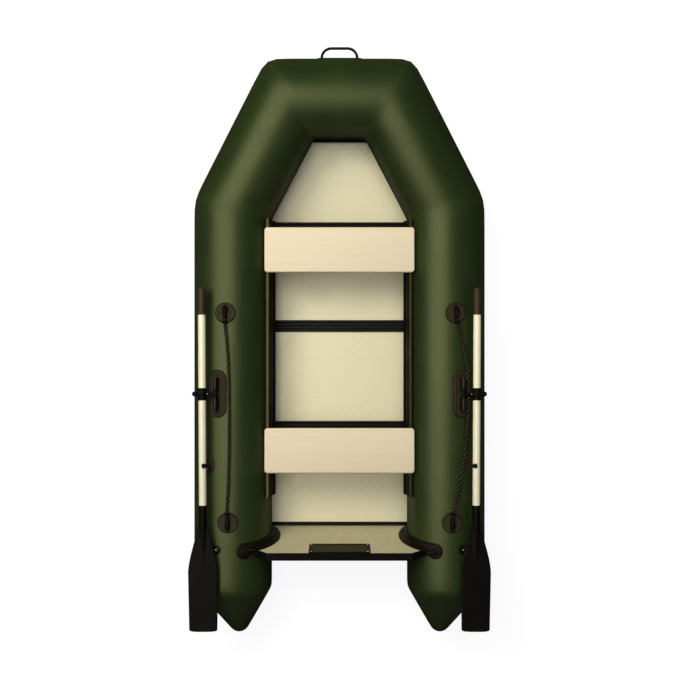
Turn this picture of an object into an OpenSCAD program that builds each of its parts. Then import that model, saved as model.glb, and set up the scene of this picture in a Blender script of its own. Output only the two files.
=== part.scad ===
// Inflatable rowing boat with an aluminium floor, two bench seats, a wooden transom and a pair of oars.
// X runs to the right side, Y to the bow and Z up. The boat stands on its side tubes at Z = 0.

/* [Tubes] */
// Radius of the air tubes
tube_r = 190; // [180:1:205]
// Distance from the middle of the boat to a side tube's centreline
side_x = 523; // [505:1:560]
// Where the side tubes turn in towards the bow
bend_y = 645; // [630:1:680]
// Half the length of the bow tube's centreline
bow_x = 238; // [220:1:260]
// Where the bow tube's centreline lies
bow_y = 1170; // [1140:1:1220]
// Rise of the bow tube above the side tubes
bow_rise = 85; // [60:1:110]
// Where the stern cones begin
cone_y = -1204; // [-1240:1:-1190]
// Length of a stern cone with its round tip
cone_len = 221; // [180:1:260]
// Radius of a stern cone's tip
cone_tip_r = 48; // [25:1:60]
// How far a cone's tip lies inboard of its tube's centreline
cone_tip_in = 33; // [0:1:60]

/* [Bottom and floor] */
// Height of the bottom sheet's upper side
bottom_z = 20; // [14:1:26]
// Thickness of the bottom sheet with its glued laps
bottom_t = 5; // [3:0.5:8]
// Thickness of a floor panel
panel_t = 14; // [10:1:20]
// Thickness of a floor joiner's flanges
flange_t = 4; // [3:0.5:6]
// Width of a floor joiner along the boat
joiner_w = 60; // [40:1:80]
// Where the joiners lie, from the bow to the stern
joiner_ys = [573, 76, -436];
// Front edge of the bow floor panel, along its slope from the tubes' bend
bow_panel_end = 331; // [300:1:380]

/* [Transom] */
// Where the transom's front face meets the bottom
transom_y = -935; // [-970:1:-900]
// Lean of the transom towards the stern, in degrees
transom_lean = 9.5; // [4:0.5:14]
// Thickness of the transom board
transom_t = 26; // [18:1:32]
// Height of the transom along its slope
transom_h = 404; // [380:1:430]
// Half the length of the transom's level top edge
transom_top_x = 340; // [280:1:350]
// Distance from the middle to an ear's end
ear_x = 404; // [380:1:410]
// Height of the ears along the board's slope
ear_h = 354; // [344:1:384]
// Width and height of a motor pad
motor_pad = [290, 112];
// Thickness of a motor pad
motor_pad_t = 8; // [4:1:14]
// Thickness of a transom holder's glued band
holder_t = 14; // [8:1:18]
// Width of a transom holder's band along the tube
holder_w = 90; // [70:1:110]
// Height of a transom holder's lips above its band
holder_lip = 28; // [12:1:34]

/* [Seats] */
// Length of a seat board across the boat
seat_len = 722; // [700:1:730]
// Width of a seat board along the boat
seat_w = 217; // [180:1:240]
// Thickness of a seat board
seat_t = 20; // [15:1:26]
// Middle of the front seat
seat_front_y = 438; // [400:1:450]
// Middle of the rear seat
seat_rear_y = -527; // [-560:1:-480]
// Front end of the seat rails
rail_front_y = 590; // [575:1:610]
// Rear end of the seat rails
rail_rear_y = -755; // [-790:1:-730]
// Clearance between a seat board's ends and the tubes
seat_gap = 5.3; // [5:0.1:9]
// Height between a rail's top edge and the seat board
slider_t = 9; // [6:1:12]
// Width of a seat rail's shelf inboard of the seat board's end
shelf_w = 23; // [16:1:30]
// How far a seat rail's lip stands out from the tube
lip_out = 16; // [12:1:24]

/* [Oars] */
// Where the oarlocks stand
oar_y = -250; // [-280:1:-220]
// Angle of an oarlock outboard of the tube's top, in degrees
lock_angle = 17.5; // [15:0.5:23]
// Height of an oarlock's hinge axis above the tube's skin
hinge_h = 21.6; // [21:0.2:26]
// Distance from the hinge axis to the oar's centreline
oar_reach = 62; // [56:1:70]
// Angle by which a stowed oar's blade lies inboard, in degrees
oar_toe = 0.3; // [0:0.1:1]
// Radius of an oar's shaft
shaft_r = 18; // [15:0.5:20]
// Radius of an oar's grip
grip_r = 19.5; // [19:0.5:24]
// Length of an oar's grip
grip_len = 128; // [110:1:150]
// Front end of an oar
oar_front_y = 253; // [230:1:290]
// Rear end of an oar's shaft
shaft_rear_y = -790; // [-810:1:-770]
// Rear end of an oar's blade
blade_rear_y = -1370; // [-1400:1:-1340]
// Width of an oar's blade
blade_w = 142; // [130:1:142]
// Thickness of an oar's blade
blade_t = 6; // [4:0.5:8]

/* [Fittings] */
// Thickness of the glued pads under the fittings
pad_t = 5; // [4:0.5:6]
// Where the front rope pads lie
rope_front_y = 133; // [120:1:150]
// Where the rear rope pads lie
rope_rear_y = -861; // [-870:1:-850]
// Where the oar clips lie
clip_y = -595; // [-620:1:-570]
// Where the stern valves lie
valve_y = -990; // [-1000:1:-980]
// How far the bow handle stands out from the bow tube
handle_reach = 65; // [55:1:90]
// Width of the bow handle's loop
handle_w = 186; // [150:1:220]
// Radius of the bow handle's bar
handle_bar_r = 7; // [5:0.5:10]
// Radius of the side ropes
rope_r = 7; // [4:0.5:8]

/* [Hidden] */
$fn = 64;

// Colours
tube_green = "#2f3d1f";
seam_green = "#26331a";
black_rubber = "#1d1b17";
brown_rubber = "#3a3020";
floor_metal = "#c5bd93";
board_cream = "#e6d7b7";
transom_tan = "#ada27c";
shaft_cream = "#f3ecc4";
valve_grey = "#9a9a88";

// Clearances: between a glued piece and a tube, between a pin and its bore, between sliding pieces
skin_gap = 0.3;
pin_gap = 0.3;
slide_gap = 0.5;
// Size of the blocks that cut a shape along a plane
cut_size = 4 * tube_r;

// Corners of the tubes' centreline on the right side, and the directions between them
bend_point = [side_x, bend_y, tube_r];
bow_point = [bow_x, bow_y, tube_r + bow_rise];
stern_point = [side_x, cone_y, tube_r];
ahead = [0, 1, 0];
quarter_run = bow_point - bend_point;
quarter_len = norm(quarter_run);
quarter_dir = quarter_run / quarter_len;
bend_mitre = ahead + quarter_dir;
bow_mitre = quarter_dir + [-1, 0, 0];

// The bow slope: the plane through the bent tubes' centrelines
bow_slope = atan2(bow_rise, bow_y - bend_y);
slope_len = norm([bow_y - bend_y, bow_rise]);

// Floor heights
panel_z = bottom_z + flange_t;
floor_z = panel_z + panel_t;
joiner_web = 6;
ridge_w = 9;
ridge_h = 2;
joiner_top_z = floor_z + flange_t + ridge_h;
panel_play = 0.5;

// Distance of a level piece's edge from a tube's centreline, where its top lies at a depth below it
function edge_reach(depth, r = tube_r) = sqrt(r * r - depth * depth) + skin_gap;
// Half width of the bow slope between the quarter tubes, for an edge reach and a distance up the slope
function slope_half(reach, v) =
    side_x - (side_x - bow_x) * v / slope_len - reach * quarter_len / slope_len;

function flip_x(p) = [-p.x, p.y, p.z];

module sided(side) {
    if (side > 0) children();
    else mirror([1, 0, 0]) children();
}

// Turns a shape's Z axis to a direction
module aim(v) {
    rotate([0, acos(v.z / norm(v)), atan2(v.y, v.x)]) children();
}

module half_space() {
    translate([-cut_size, -cut_size, 0]) cube(2 * cut_size);
}

// A straight length of tube from a to b, cut by a plane through each end
module tube_run(a, b, cut_a, cut_b, r = tube_r) {
    difference() {
        translate(a) aim(b - a) translate([0, 0, -tube_r]) cylinder(r = r, h = norm(b - a) + 2 * tube_r);
        translate(a) aim(-cut_a) half_space();
        translate(b) aim(cut_b) half_space();
    }
}

// A rectangle with round corners, about the origin
module rounded(w, l, r) {
    square([w - 2 * r, l], center = true);
    square([w, l - 2 * r], center = true);
    for (x = [-1, 1], y = [-1, 1]) translate([x * (w / 2 - r), y * (l / 2 - r)]) circle(r);
}

// Places a piece on a side tube's skin: its Z points out of the tube and its X runs outboard
module on_tube(side, y, angle) {
    sided(side)
        translate([side_x, y, tube_r])
        rotate([0, angle, 0])
        translate([0, 0, tube_r])
        children();
}

// Places a piece on the front of the bow tube: its Z points ahead and its Y runs along the tube
module on_bow() {
    translate([0, bow_y, tube_r + bow_rise])
        rotate([-90, 0, 0])
        rotate([0, 0, 90])
        translate([0, 0, tube_r])
        children();
}

// A patch of even thickness that follows a tube's skin inside a flat outline
module patch(t) {
    depth = tube_r / 2;
    intersection() {
        translate([0, 0, -tube_r]) rotate([90, 0, 0]) difference() {
            cylinder(r = tube_r + t, h = cut_size, center = true);
            cylinder(r = tube_r + skin_gap, h = 2 * cut_size, center = true);
        }
        translate([0, 0, -depth]) linear_extrude(2 * depth) children();
    }
}

// Tubes

module bow_tube() {
    color(tube_green) tube_run(bow_point, flip_x(bow_point), bow_mitre, [bow_mitre.x, -bow_mitre.y, -bow_mitre.z]);
}

module bow_quarter(side) {
    color(tube_green) sided(side) tube_run(bend_point, bow_point, bend_mitre, bow_mitre);
}

module side_tube(side) {
    color(tube_green) sided(side) tube_run(stern_point, bend_point, ahead, bend_mitre);
}

module stern_cone(side) {
    base_t = 1;
    tip = [side_x - cone_tip_in, cone_y - cone_len + cone_tip_r, tube_r];
    color(tube_green) sided(side) hull() {
        translate(stern_point) rotate([90, 0, 0]) cylinder(r = tube_r, h = base_t);
        translate(tip) sphere(cone_tip_r, $fn = 32);
    }
}

// Bottom and floor

// A plate on the bow slope between the quarter tubes, from one distance up the slope to another,
// with its top at a depth below the tubes' centrelines
module slope_plate(depth, t, v_from, v_to) {
    reach = edge_reach(depth);
    side_half = side_x - reach;
    v_corner = (side_x - side_half - reach * quarter_len / slope_len) * slope_len / (side_x - bow_x);
    v_turn = max(v_corner, v_from);
    right = [[min(side_half, slope_half(reach, v_from)), v_from],
             [min(side_half, slope_half(reach, v_turn)), v_turn],
             [slope_half(reach, v_to), v_to]];
    left = [for (i = [2 : -1 : 0]) [-right[i].x, right[i].y]];
    outline = v_turn > v_from ? concat(right, left) : [right[0], right[2], left[0], left[2]];
    translate([0, bend_y, tube_r]) rotate([bow_slope, 0, 0])
        translate([0, 0, -depth - t]) linear_extrude(t) polygon(outline);
}

module bottom_sheet() {
    depth = tube_r - bottom_z;
    half = side_x - edge_reach(depth);
    crease_v = -depth * tan(bow_slope / 2);
    crease_lap = 1;
    front_y = bend_y - crease_v + crease_lap;
    tail = 20;
    rear_y = transom_y - transom_t - tail;
    color(seam_green) difference() {
        union() {
            translate([-half, rear_y, bottom_z - bottom_t]) cube([2 * half, front_y - rear_y, bottom_t]);
            slope_plate(depth, bottom_t, crease_v, slope_len - edge_reach(depth));
        }
        for (side = [-1, 1])
            sided(side) tube_run(bend_point, bow_point, bend_mitre, bow_mitre, tube_r + skin_gap);
    }
}

// Half width of the floor where a piece's top lies at a height
function floor_half(z) = side_x - edge_reach(tube_r - z);

module floor_panel(y_front, y_rear) {
    half = floor_half(floor_z);
    color(floor_metal) translate([-half, y_rear, panel_z]) cube([2 * half, y_front - y_rear, panel_t]);
}

// The fold of the floor lies in the front joiner, at the panels' middle height
fold_y = joiner_ys[0];
fold_z = panel_z + panel_t / 2;
fold_depth = (tube_r - fold_z) * cos(bow_slope) - (bend_y - fold_y) * sin(bow_slope);
fold_v = (fold_y - bend_y) * cos(bow_slope) - (tube_r - fold_z) * sin(bow_slope);
panel_setback = joiner_web / 2 + panel_play;

module floor_panel_bow() {
    color(floor_metal)
        slope_plate(fold_depth - panel_t / 2, panel_t, fold_v + panel_setback, bow_panel_end);
}

// Half of a joiner's H section on the +Y side of its web, about the panels' middle height
module joiner_half(half) {
    slot = panel_t / 2;
    for (z = [-slot - flange_t, slot]) translate([-half, 0, z]) cube([2 * half, joiner_w / 2, flange_t]);
    translate([-half, 0, -slot - flange_t]) cube([2 * half, joiner_web / 2, panel_t + 2 * flange_t]);
    for (y = [0, joiner_w / 2 - ridge_w]) translate([-half, y, slot]) cube([2 * half, ridge_w, flange_t + ridge_h]);
}

module floor_joiner(i) {
    half = floor_half(joiner_top_z);
    tilt = i == 0 ? bow_slope : 0;
    front_half = i == 0 ? side_x - edge_reach(fold_depth - panel_t / 2 - flange_t - ridge_h) : half;
    color(black_rubber) translate([0, joiner_ys[i], fold_z]) {
        mirror([0, 1, 0]) joiner_half(half);
        rotate([tilt, 0, 0]) joiner_half(front_half);
    }
}

end_strip_w = 16;

module floor_end_strip() {
    half = floor_half(joiner_top_z);
    color(black_rubber) translate([-half, transom_y + skin_gap, bottom_z])
        cube([2 * half, end_strip_w, joiner_top_z - bottom_z]);
}

panel_rear_y = transom_y + end_strip_w + panel_play;

// Transom: its frame has X across, Y out of the front face and Z up the board

module on_transom() {
    translate([0, transom_y, bottom_z]) rotate([transom_lean, 0, 0]) children();
}

// The board's lower edge is lifted so that its rear corner clears the bottom sheet
transom_foot = transom_t * tan(transom_lean) + skin_gap;
ear_depth = 30;
board_r = tube_r + holder_t + skin_gap;
lip_r = tube_r + holder_t + holder_lip;

module side_tube_space(r) {
    for (side = [-1, 1])
        translate([side * side_x, transom_y, tube_r]) rotate([90, 0, 0]) cylinder(r = r, h = cut_size, center = true);
}

module transom_board() {
    foot_half = side_x - sqrt(board_r * board_r - pow(tube_r - bottom_z, 2));
    right = [[foot_half, transom_foot], [side_x, transom_h / 2], [ear_x, ear_h - ear_depth],
             [ear_x, ear_h], [transom_top_x, transom_h]];
    left = [for (i = [4 : -1 : 0]) [-right[i].x, right[i].y]];
    color(transom_tan) difference() {
        on_transom() rotate([90, 0, 0]) linear_extrude(transom_t) polygon(concat(right, left));
        side_tube_space(board_r);
    }
}

trim_t = 4;
trim_leg = 6;

module transom_top_trim() {
    over = [[ear_x, ear_h + trim_t], [transom_top_x, transom_h + trim_t],
            [-transom_top_x, transom_h + trim_t], [-ear_x, ear_h + trim_t]];
    under = [for (i = [3 : -1 : 0]) over[i] - [0, trim_t + trim_leg]];
    color(black_rubber) difference() {
        on_transom() translate([0, trim_t, 0]) rotate([90, 0, 0])
            linear_extrude(transom_t + 2 * trim_t) polygon(concat(over, under));
        transom_board();
        difference() {
            side_tube_space(lip_r + skin_gap);
            on_transom() translate([-side_x, -transom_t, 0]) cube([2 * side_x, transom_t, 2 * transom_h]);
        }
    }
}

module motor_pad(front) {
    pad_top = transom_h - trim_leg;
    y = front ? 0 : -transom_t - motor_pad_t;
    color(brown_rubber) on_transom()
        translate([-motor_pad.x / 2, y, pad_top - motor_pad.y]) cube([motor_pad.x, motor_pad_t, motor_pad.y]);
}

// A holder is a band round the tube's inner side with a slot between two lips for the board
holder_top_angle = 24;
holder_end_r = 40;
holder_foot = 24;

module transom_holder(side) {
    lip_t = 8;
    end_share = 0.85;
    end_y = transom_y - transom_h * sin(transom_lean) * end_share;
    color(black_rubber) {
        on_tube(side, end_y, -holder_top_angle) patch(holder_t / 2) circle(holder_end_r);
        sided(side) difference() {
            intersection() {
                translate([side_x, transom_y, tube_r]) rotate([90, 0, 0]) difference() {
                    cylinder(r = lip_r, h = cut_size, center = true);
                    cylinder(r = tube_r + skin_gap, h = 2 * cut_size, center = true);
                }
                on_transom() translate([0, -transom_t / 2 - holder_w / 2, 0])
                    cube([side_x, holder_w, transom_h + holder_end_r]);
                translate([0, -cut_size + transom_y, bottom_z + holder_foot]) cube([side_x, 2 * cut_size, cut_size]);
            }
            translate([side_x, transom_y, tube_r]) rotate([0, -holder_top_angle, 0])
                translate([0, -cut_size, -cut_size / 8]) cube([cut_size, 2 * cut_size, cut_size]);
            difference() {
                translate([side_x, transom_y, tube_r]) rotate([90, 0, 0]) difference() {
                    cylinder(r = lip_r + 1, h = cut_size, center = true);
                    cylinder(r = tube_r + holder_t, h = 2 * cut_size, center = true);
                }
                for (y = [skin_gap, -transom_t - skin_gap - lip_t])
                    on_transom() translate([0, y, 0]) cube([side_x, lip_t, transom_h]);
            }
        }
    }
}

// Seats

// A board's end rests over the tube's flank, or over the rail alone where the board is short
seat_end = side_x - seat_len / 2;
least_seat_h = tube_r / 3;
seat_h = max(least_seat_h, sqrt(max(0, pow(tube_r + seat_gap, 2) - pow(seat_end, 2))));
rail_top = seat_h - slider_t;

// A point inboard of the right tube's centreline, by its distance from it and its angle above the level
function inboard(r, angle) = [-r * cos(angle), r * sin(angle)];

// Cross section of the right rail in X and Z: a shelf for the seats above a lip that follows the tube
module rail_section() {
    shelf_t = 12;
    band_r = tube_r + lip_out / 3;
    sunk = 10;
    shelf_angle = asin(rail_top / band_r);
    ridge_angle = 0.68 * shelf_angle;
    lip_angle = -3;
    foot_angle = -11;
    shelf_root = min(seat_end, tube_r * cos(shelf_angle)) - sunk;
    shelf_edge = -seat_end - shelf_w;
    difference() {
        union() {
            polygon([[-shelf_root, rail_top], [shelf_edge, rail_top], [shelf_edge, rail_top - shelf_t],
                     inboard(tube_r + lip_out / 2, ridge_angle), inboard(tube_r + lip_out, lip_angle),
                     inboard(tube_r + lip_out, foot_angle), inboard(tube_r - sunk, foot_angle)]);
            intersection() {
                circle(band_r);
                polygon([[0, 0], inboard(2 * tube_r, shelf_angle), inboard(2 * tube_r, foot_angle)]);
            }
        }
        circle(tube_r + skin_gap);
    }
}

module seat_rail(side) {
    color(brown_rubber) sided(side) translate([side_x, rail_front_y, tube_r])
        rotate([90, 0, 0]) linear_extrude(rail_front_y - rail_rear_y) rail_section();
}

seat_under_z = tube_r + seat_h;
seat_corner_r = 16;

module seat(y) {
    color(board_cream) translate([0, y, seat_under_z]) linear_extrude(seat_t) rounded(seat_len, seat_w, seat_corner_r);
}

// Two sliders under a seat board, each with a shoe on the rail and a guide inside it
module seat_sliders(y) {
    shoe_inset = 5;
    shoe_w = 47;
    guide_w = 14;
    guide_gap = 3;
    guide_drop = 60;
    slider_len = 150;
    shoe_end = seat_len / 2 - shoe_inset;
    guide_x = min(side_x - tube_r - lip_out - guide_gap, seat_len / 2 - shoe_w) - guide_w;
    color(black_rubber) for (side = [-1, 1]) sided(side) translate([guide_x, y - slider_len / 2, seat_under_z]) {
        translate([0, 0, slide_gap - slider_t]) cube([shoe_end - guide_x, slider_len, slider_t - slide_gap]);
        translate([0, 0, -guide_drop]) cube([guide_w, slider_len, guide_drop]);
    }
}

// Rope pads and ropes

// The pads lie a little off the tube's top: angles of the front and rear pads, left and right
rope_angles = [[5.4, 8.2], [2, 3.4]];
rope_pad_r = 46.5;
loop_half = 24.8;
loop_h = 20;
loop_bar_r = 5;
loop_bend_r = 12;

// A pad with an eye that stands along the tube
module rope_pad(side, front) {
    angle = rope_angles[front ? 0 : 1][side > 0 ? 1 : 0];
    color(black_rubber) on_tube(side, front ? rope_front_y : rope_rear_y, angle) {
        patch(pad_t) circle(rope_pad_r);
        bail(2 * loop_half, loop_h + pad_t, loop_bar_r, loop_bend_r);
    }
}

// A round bar bent into a bail that stands on its two legs along Y: width over the legs' centres, height, radii
module bail(width, height, bar_r, bend_r) {
    top = height - bar_r;
    leg = width / 2;
    foot = pad_t / 2;
    translate([0, 0, top]) rotate([90, 0, 0]) cylinder(r = bar_r, h = width - 2 * bend_r, center = true);
    for (end = [0, 1]) mirror([0, end, 0]) {
        translate([0, leg, foot]) cylinder(r = bar_r, h = top - bend_r - foot);
        translate([0, leg - bend_r, top - bend_r]) rotate([90, 0, 90])
            rotate_extrude(angle = 90) translate([bend_r, 0]) circle(bar_r);
    }
}

// Routes of the ropes from the front pad to the rear one
left_route = [
    [-542, 103, 392], [-542, 88, 392], [-538, 50, 389.6], [-532, -10, 388.6], [-526, -90, 388.6],
    [-522, -220, 388.6], [-521, -380, 388.6], [-522, -540, 388.6], [-526, -690, 388.6], [-532, -785, 390.5],
    [-533, -816, 392.4], [-533, -831, 392.4]
];
right_route = [
    [553, 103, 391], [557, 88, 390.5], [569, 50, 384.5], [580, 10, 380], [590, -40, 376.4], [601, -95, 374.2],
    [609, -140, 374.6], [612, -250, 372.6], [610, -364, 374], [604, -430, 371.6], [594, -540, 375],
    [584, -600, 378.4], [566, -700, 383.2], [547, -770, 388], [540, -795, 392], [536, -816, 392.4], [535, -831, 392.4]
];
rope_steps = 3;
rope_sides = 8;

// A smooth curve through the route's points
function curve(p0, p1, p2, p3, t) =
    0.5 * (2 * p1 + (p2 - p0) * t + (2 * p0 - 5 * p1 + 4 * p2 - p3) * t * t
        + (3 * p1 - p0 - 3 * p2 + p3) * t * t * t);
function route_point(route, i) = route[max(0, min(len(route) - 1, i))];
function route_curve(route) = concat(
    [for (i = [0 : len(route) - 2], s = [0 : rope_steps - 1])
        curve(route_point(route, i - 1), route[i], route[i + 1], route_point(route, i + 2), s / rope_steps)],
    [route[len(route) - 1]]);

// A round bar along a path that runs mainly along Y
module swept(path, r, sides) {
    count = len(path);
    rings = [for (i = [0 : count - 1])
        let (d = path[min(count - 1, i + 1)] - path[max(0, i - 1)],
             across = cross(d, [0, 0, 1]) / norm(cross(d, [0, 0, 1])),
             up = cross(across, d) / norm(d))
        for (k = [0 : sides - 1]) path[i] + r * (cos(360 * k / sides) * across + sin(360 * k / sides) * up)];
    sides_faces = [for (i = [0 : count - 2], k = [0 : sides - 1])
        let (a = i * sides + k, b = i * sides + (k + 1) % sides) [a, b, b + sides, a + sides]];
    first = [for (k = [sides - 1 : -1 : 0]) k];
    last = [for (k = [0 : sides - 1]) (count - 1) * sides + k];
    polyhedron(rings, concat(sides_faces, [first, last]));
}

module side_rope(side) {
    color(black_rubber) swept(route_curve(side > 0 ? right_route : left_route), rope_r, rope_sides);
}

// Oars and oarlocks

hinge_r = tube_r + hinge_h;
hinge_point = [side_x + hinge_r * sin(lock_angle), oar_y, tube_r + hinge_r * cos(lock_angle)];
oar_x = hinge_point.x + oar_reach;
oar_z = hinge_point.z;
axle_r = 5;
stem_r = 7;
hub_len = 36;
lug_r = 12;
lug_len = 60;
lug_gap = hub_len + 2;
collar_r = 23;
collar_len = 57;
lock_pad = [88, 222];

// The base's two lugs carry the pin's axle along the boat
module oarlock_base(side) {
    color(brown_rubber) on_tube(side, oar_y, lock_angle) difference() {
        union() {
            patch(pad_t) rounded(lock_pad.x, lock_pad.y, lock_pad.x / 2 - 1);
            for (end = [0, 1]) mirror([0, end, 0]) {
                translate([0, lug_gap / 2 + lug_len, hinge_h]) rotate([90, 0, 0]) cylinder(r = lug_r, h = lug_len);
                translate([-lug_r, lug_gap / 2, pad_t - 2]) cube([2 * lug_r, lug_len, hinge_h - pad_t + 2]);
            }
        }
        translate([0, 0, hinge_h]) rotate([90, 0, 0]) cylinder(r = axle_r + pin_gap, h = cut_size, center = true);
    }
}

// The pin's hub turns between the lugs, and its stem carries the oar up to the knob
module oarlock_pin(side) {
    knob_x = oar_reach + collar_r + 1;
    knob_len = 24;
    knob_r = 12;
    color(black_rubber) sided(side) translate(hinge_point) {
        rotate([90, 0, 0]) cylinder(r = lug_r, h = hub_len, center = true);
        rotate([90, 0, 0]) cylinder(r = axle_r, h = lug_gap + 2 * lug_len, center = true);
        rotate([0, 90, 0]) cylinder(r = stem_r, h = knob_x + knob_len / 2);
        translate([knob_x, 0, 0]) rotate([0, 90, 0]) cylinder(r = knob_r, h = knob_len);
    }
}

// Places a piece on the oar's centreline, with its Z towards the stern
module along_oar(side, y) {
    sided(side) translate([oar_x, oar_y, oar_z]) rotate([0, 0, -oar_toe])
        translate([0, y - oar_y, 0]) rotate([90, 0, 0]) children();
}

module stem_bore() {
    translate(hinge_point) rotate([0, 90, 0]) cylinder(r = stem_r + pin_gap, h = cut_size);
}

module oar_shaft(side) {
    front_y = oar_front_y - grip_len;
    color(shaft_cream) difference() {
        along_oar(side, front_y) cylinder(r = shaft_r, h = front_y - shaft_rear_y);
        sided(side) stem_bore();
    }
}

module oar_collar(side) {
    color(black_rubber) difference() {
        along_oar(side, oar_y + collar_len / 2) difference() {
            cylinder(r = collar_r, h = collar_len);
            translate([0, 0, -1]) cylinder(r = shaft_r + skin_gap, h = collar_len + 2);
        }
        sided(side) stem_bore();
    }
}

module oar_grip(side) {
    round_len = 12;
    color(brown_rubber) along_oar(side, oar_front_y) {
        cylinder(r1 = grip_r - round_len / 2, r2 = grip_r, h = round_len);
        translate([0, 0, round_len]) cylinder(r = grip_r, h = grip_len - round_len);
    }
}

// The blade is a flat plate that swells smoothly to its full width, stiffened by its tapered neck
module oar_blade(side) {
    blade_len = shaft_rear_y - blade_rear_y;
    swell = [90, 315];
    swell_steps = 12;
    tip_half = 0.94 * blade_w / 2;
    tip_len = 30;
    tip_steps = 10;
    tip_round = [0.3, 0.8];
    neck_len = 330;
    neck_tip_r = 4;
    neck_half = shaft_r - 2;
    swelling = [for (i = [0 : swell_steps])
        [neck_half + (blade_w / 2 - neck_half) * (1 - cos(180 * i / swell_steps)) / 2,
         swell[0] + (swell[1] - swell[0]) * i / swell_steps]];
    tip = [for (i = [0 : tip_steps])
        let (a = 90 * i / tip_steps)
        [tip_half * pow(cos(a), tip_round[0]), blade_len - tip_len * (1 - pow(sin(a), tip_round[1]))]];
    right = concat(swelling, tip);
    left = [for (i = [len(right) - 2 : -1 : 0]) [-right[i].x, right[i].y]];
    color(black_rubber) along_oar(side, shaft_rear_y) {
        cylinder(r1 = shaft_r, r2 = neck_tip_r, h = neck_len);
        rotate([90, 0, 0]) translate([0, 0, -blade_t / 2]) linear_extrude(blade_t) polygon(concat(right, left));
    }
}

// A clip is a cradle on a pad that is open upwards and outboard
module oar_clip(side) {
    clip_angle = 29;
    clip_pad = [44, 76];
    clip_len = 30;
    wall_t = 8;
    lip_drop = 2;
    outer = 8;
    play = 1;
    shaft_x = oar_x - (oar_y - clip_y) * sin(oar_toe);
    inner_x = shaft_x - shaft_r - play - wall_t;
    color(brown_rubber) {
        on_tube(side, clip_y, clip_angle) patch(pad_t) rounded(clip_pad.x, clip_pad.y, clip_pad.x / 2 - 1);
        sided(side) translate([0, clip_y + clip_len / 2, 0]) rotate([90, 0, 0]) linear_extrude(clip_len) difference() {
            translate([inner_x, tube_r]) square([shaft_x + outer - inner_x, oar_z - tube_r - lip_drop]);
            translate([shaft_x, oar_z]) circle(shaft_r + play);
            translate([side_x, tube_r]) circle(tube_r + pad_t / 2);
        }
    }
}

// Valves and handle

valve_angle = 18.7;

module valve(side) {
    flange_r = 23;
    cap_r = 15;
    cap_h = 8;
    color(valve_grey) on_tube(side, valve_y, valve_angle) {
        patch(3) circle(flange_r);
        translate([0, 0, 1]) cylinder(r = cap_r, h = cap_h - 1);
    }
}

module bow_handle() {
    bend_r = 34;
    handle_pad = [70, 226];
    flare = 1.6;
    leg_len = handle_reach - handle_bar_r - bend_r - pad_t / 2;
    color(black_rubber) on_bow() {
        patch(pad_t) rounded(handle_pad.x, handle_pad.y, 30);
        bail(handle_w - 2 * handle_bar_r, handle_reach, handle_bar_r, bend_r);
        for (end = [-1, 1]) translate([0, end * (handle_w / 2 - handle_bar_r), pad_t / 2])
            cylinder(r1 = flare * handle_bar_r, r2 = handle_bar_r, h = leg_len);
    }
}

bow_tube();
bow_quarter(-1);  // bow_quarter_left
bow_quarter(1);  // bow_quarter_right
side_tube(-1);  // side_tube_left
side_tube(1);  // side_tube_right
stern_cone(-1);  // stern_cone_left
stern_cone(1);  // stern_cone_right
bottom_sheet();
floor_panel_bow();
floor_panel(joiner_ys[0] - panel_setback, joiner_ys[1] + panel_setback);  // floor_panel_front
floor_panel(joiner_ys[1] - panel_setback, joiner_ys[2] + panel_setback);  // floor_panel_middle
floor_panel(joiner_ys[2] - panel_setback, panel_rear_y);  // floor_panel_rear
floor_joiner(0);  // floor_joiner_front
floor_joiner(1);  // floor_joiner_middle
floor_joiner(2);  // floor_joiner_rear
floor_end_strip();
transom_board();
transom_top_trim();
transom_holder(-1);  // transom_holder_left
transom_holder(1);  // transom_holder_right
motor_pad(true);  // motor_pad_inner
motor_pad(false);  // motor_pad_outer
seat_rail(-1);  // seat_rail_left
seat_rail(1);  // seat_rail_right
seat(seat_front_y);  // seat_front
seat_sliders(seat_front_y);  // seat_sliders_front
seat(seat_rear_y);  // seat_rear
seat_sliders(seat_rear_y);  // seat_sliders_rear
rope_pad(-1, true);  // rope_pad_front_left
rope_pad(1, true);  // rope_pad_front_right
rope_pad(-1, false);  // rope_pad_rear_left
rope_pad(1, false);  // rope_pad_rear_right
side_rope(-1);  // side_rope_left
side_rope(1);  // side_rope_right
oarlock_base(-1);  // oarlock_base_left
oarlock_base(1);  // oarlock_base_right
oarlock_pin(-1);  // oarlock_pin_left
oarlock_pin(1);  // oarlock_pin_right
oar_shaft(-1);  // oar_shaft_left
oar_shaft(1);  // oar_shaft_right
oar_collar(-1);  // oar_collar_left
oar_collar(1);  // oar_collar_right
oar_grip(-1);  // oar_grip_left
oar_grip(1);  // oar_grip_right
oar_blade(-1);  // oar_blade_left
oar_blade(1);  // oar_blade_right
oar_clip(-1);  // oar_clip_left
oar_clip(1);  // oar_clip_right
valve(-1);  // valve_left
valve(1);  // valve_right
bow_handle();
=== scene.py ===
import math

import bmesh
import bpy
from mathutils import Matrix, Vector


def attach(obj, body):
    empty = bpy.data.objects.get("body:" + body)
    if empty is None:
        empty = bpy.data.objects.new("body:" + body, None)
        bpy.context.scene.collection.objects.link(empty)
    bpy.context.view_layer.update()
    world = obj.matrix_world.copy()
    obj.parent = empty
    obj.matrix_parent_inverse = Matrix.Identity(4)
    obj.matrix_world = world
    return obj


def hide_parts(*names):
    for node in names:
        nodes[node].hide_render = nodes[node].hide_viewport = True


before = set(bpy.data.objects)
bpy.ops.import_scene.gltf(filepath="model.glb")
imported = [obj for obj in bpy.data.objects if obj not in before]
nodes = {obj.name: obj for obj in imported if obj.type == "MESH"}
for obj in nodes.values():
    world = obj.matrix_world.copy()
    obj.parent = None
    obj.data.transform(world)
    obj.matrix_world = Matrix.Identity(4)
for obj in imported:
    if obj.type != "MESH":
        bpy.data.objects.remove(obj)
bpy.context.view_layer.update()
scene = bpy.context.scene

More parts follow.
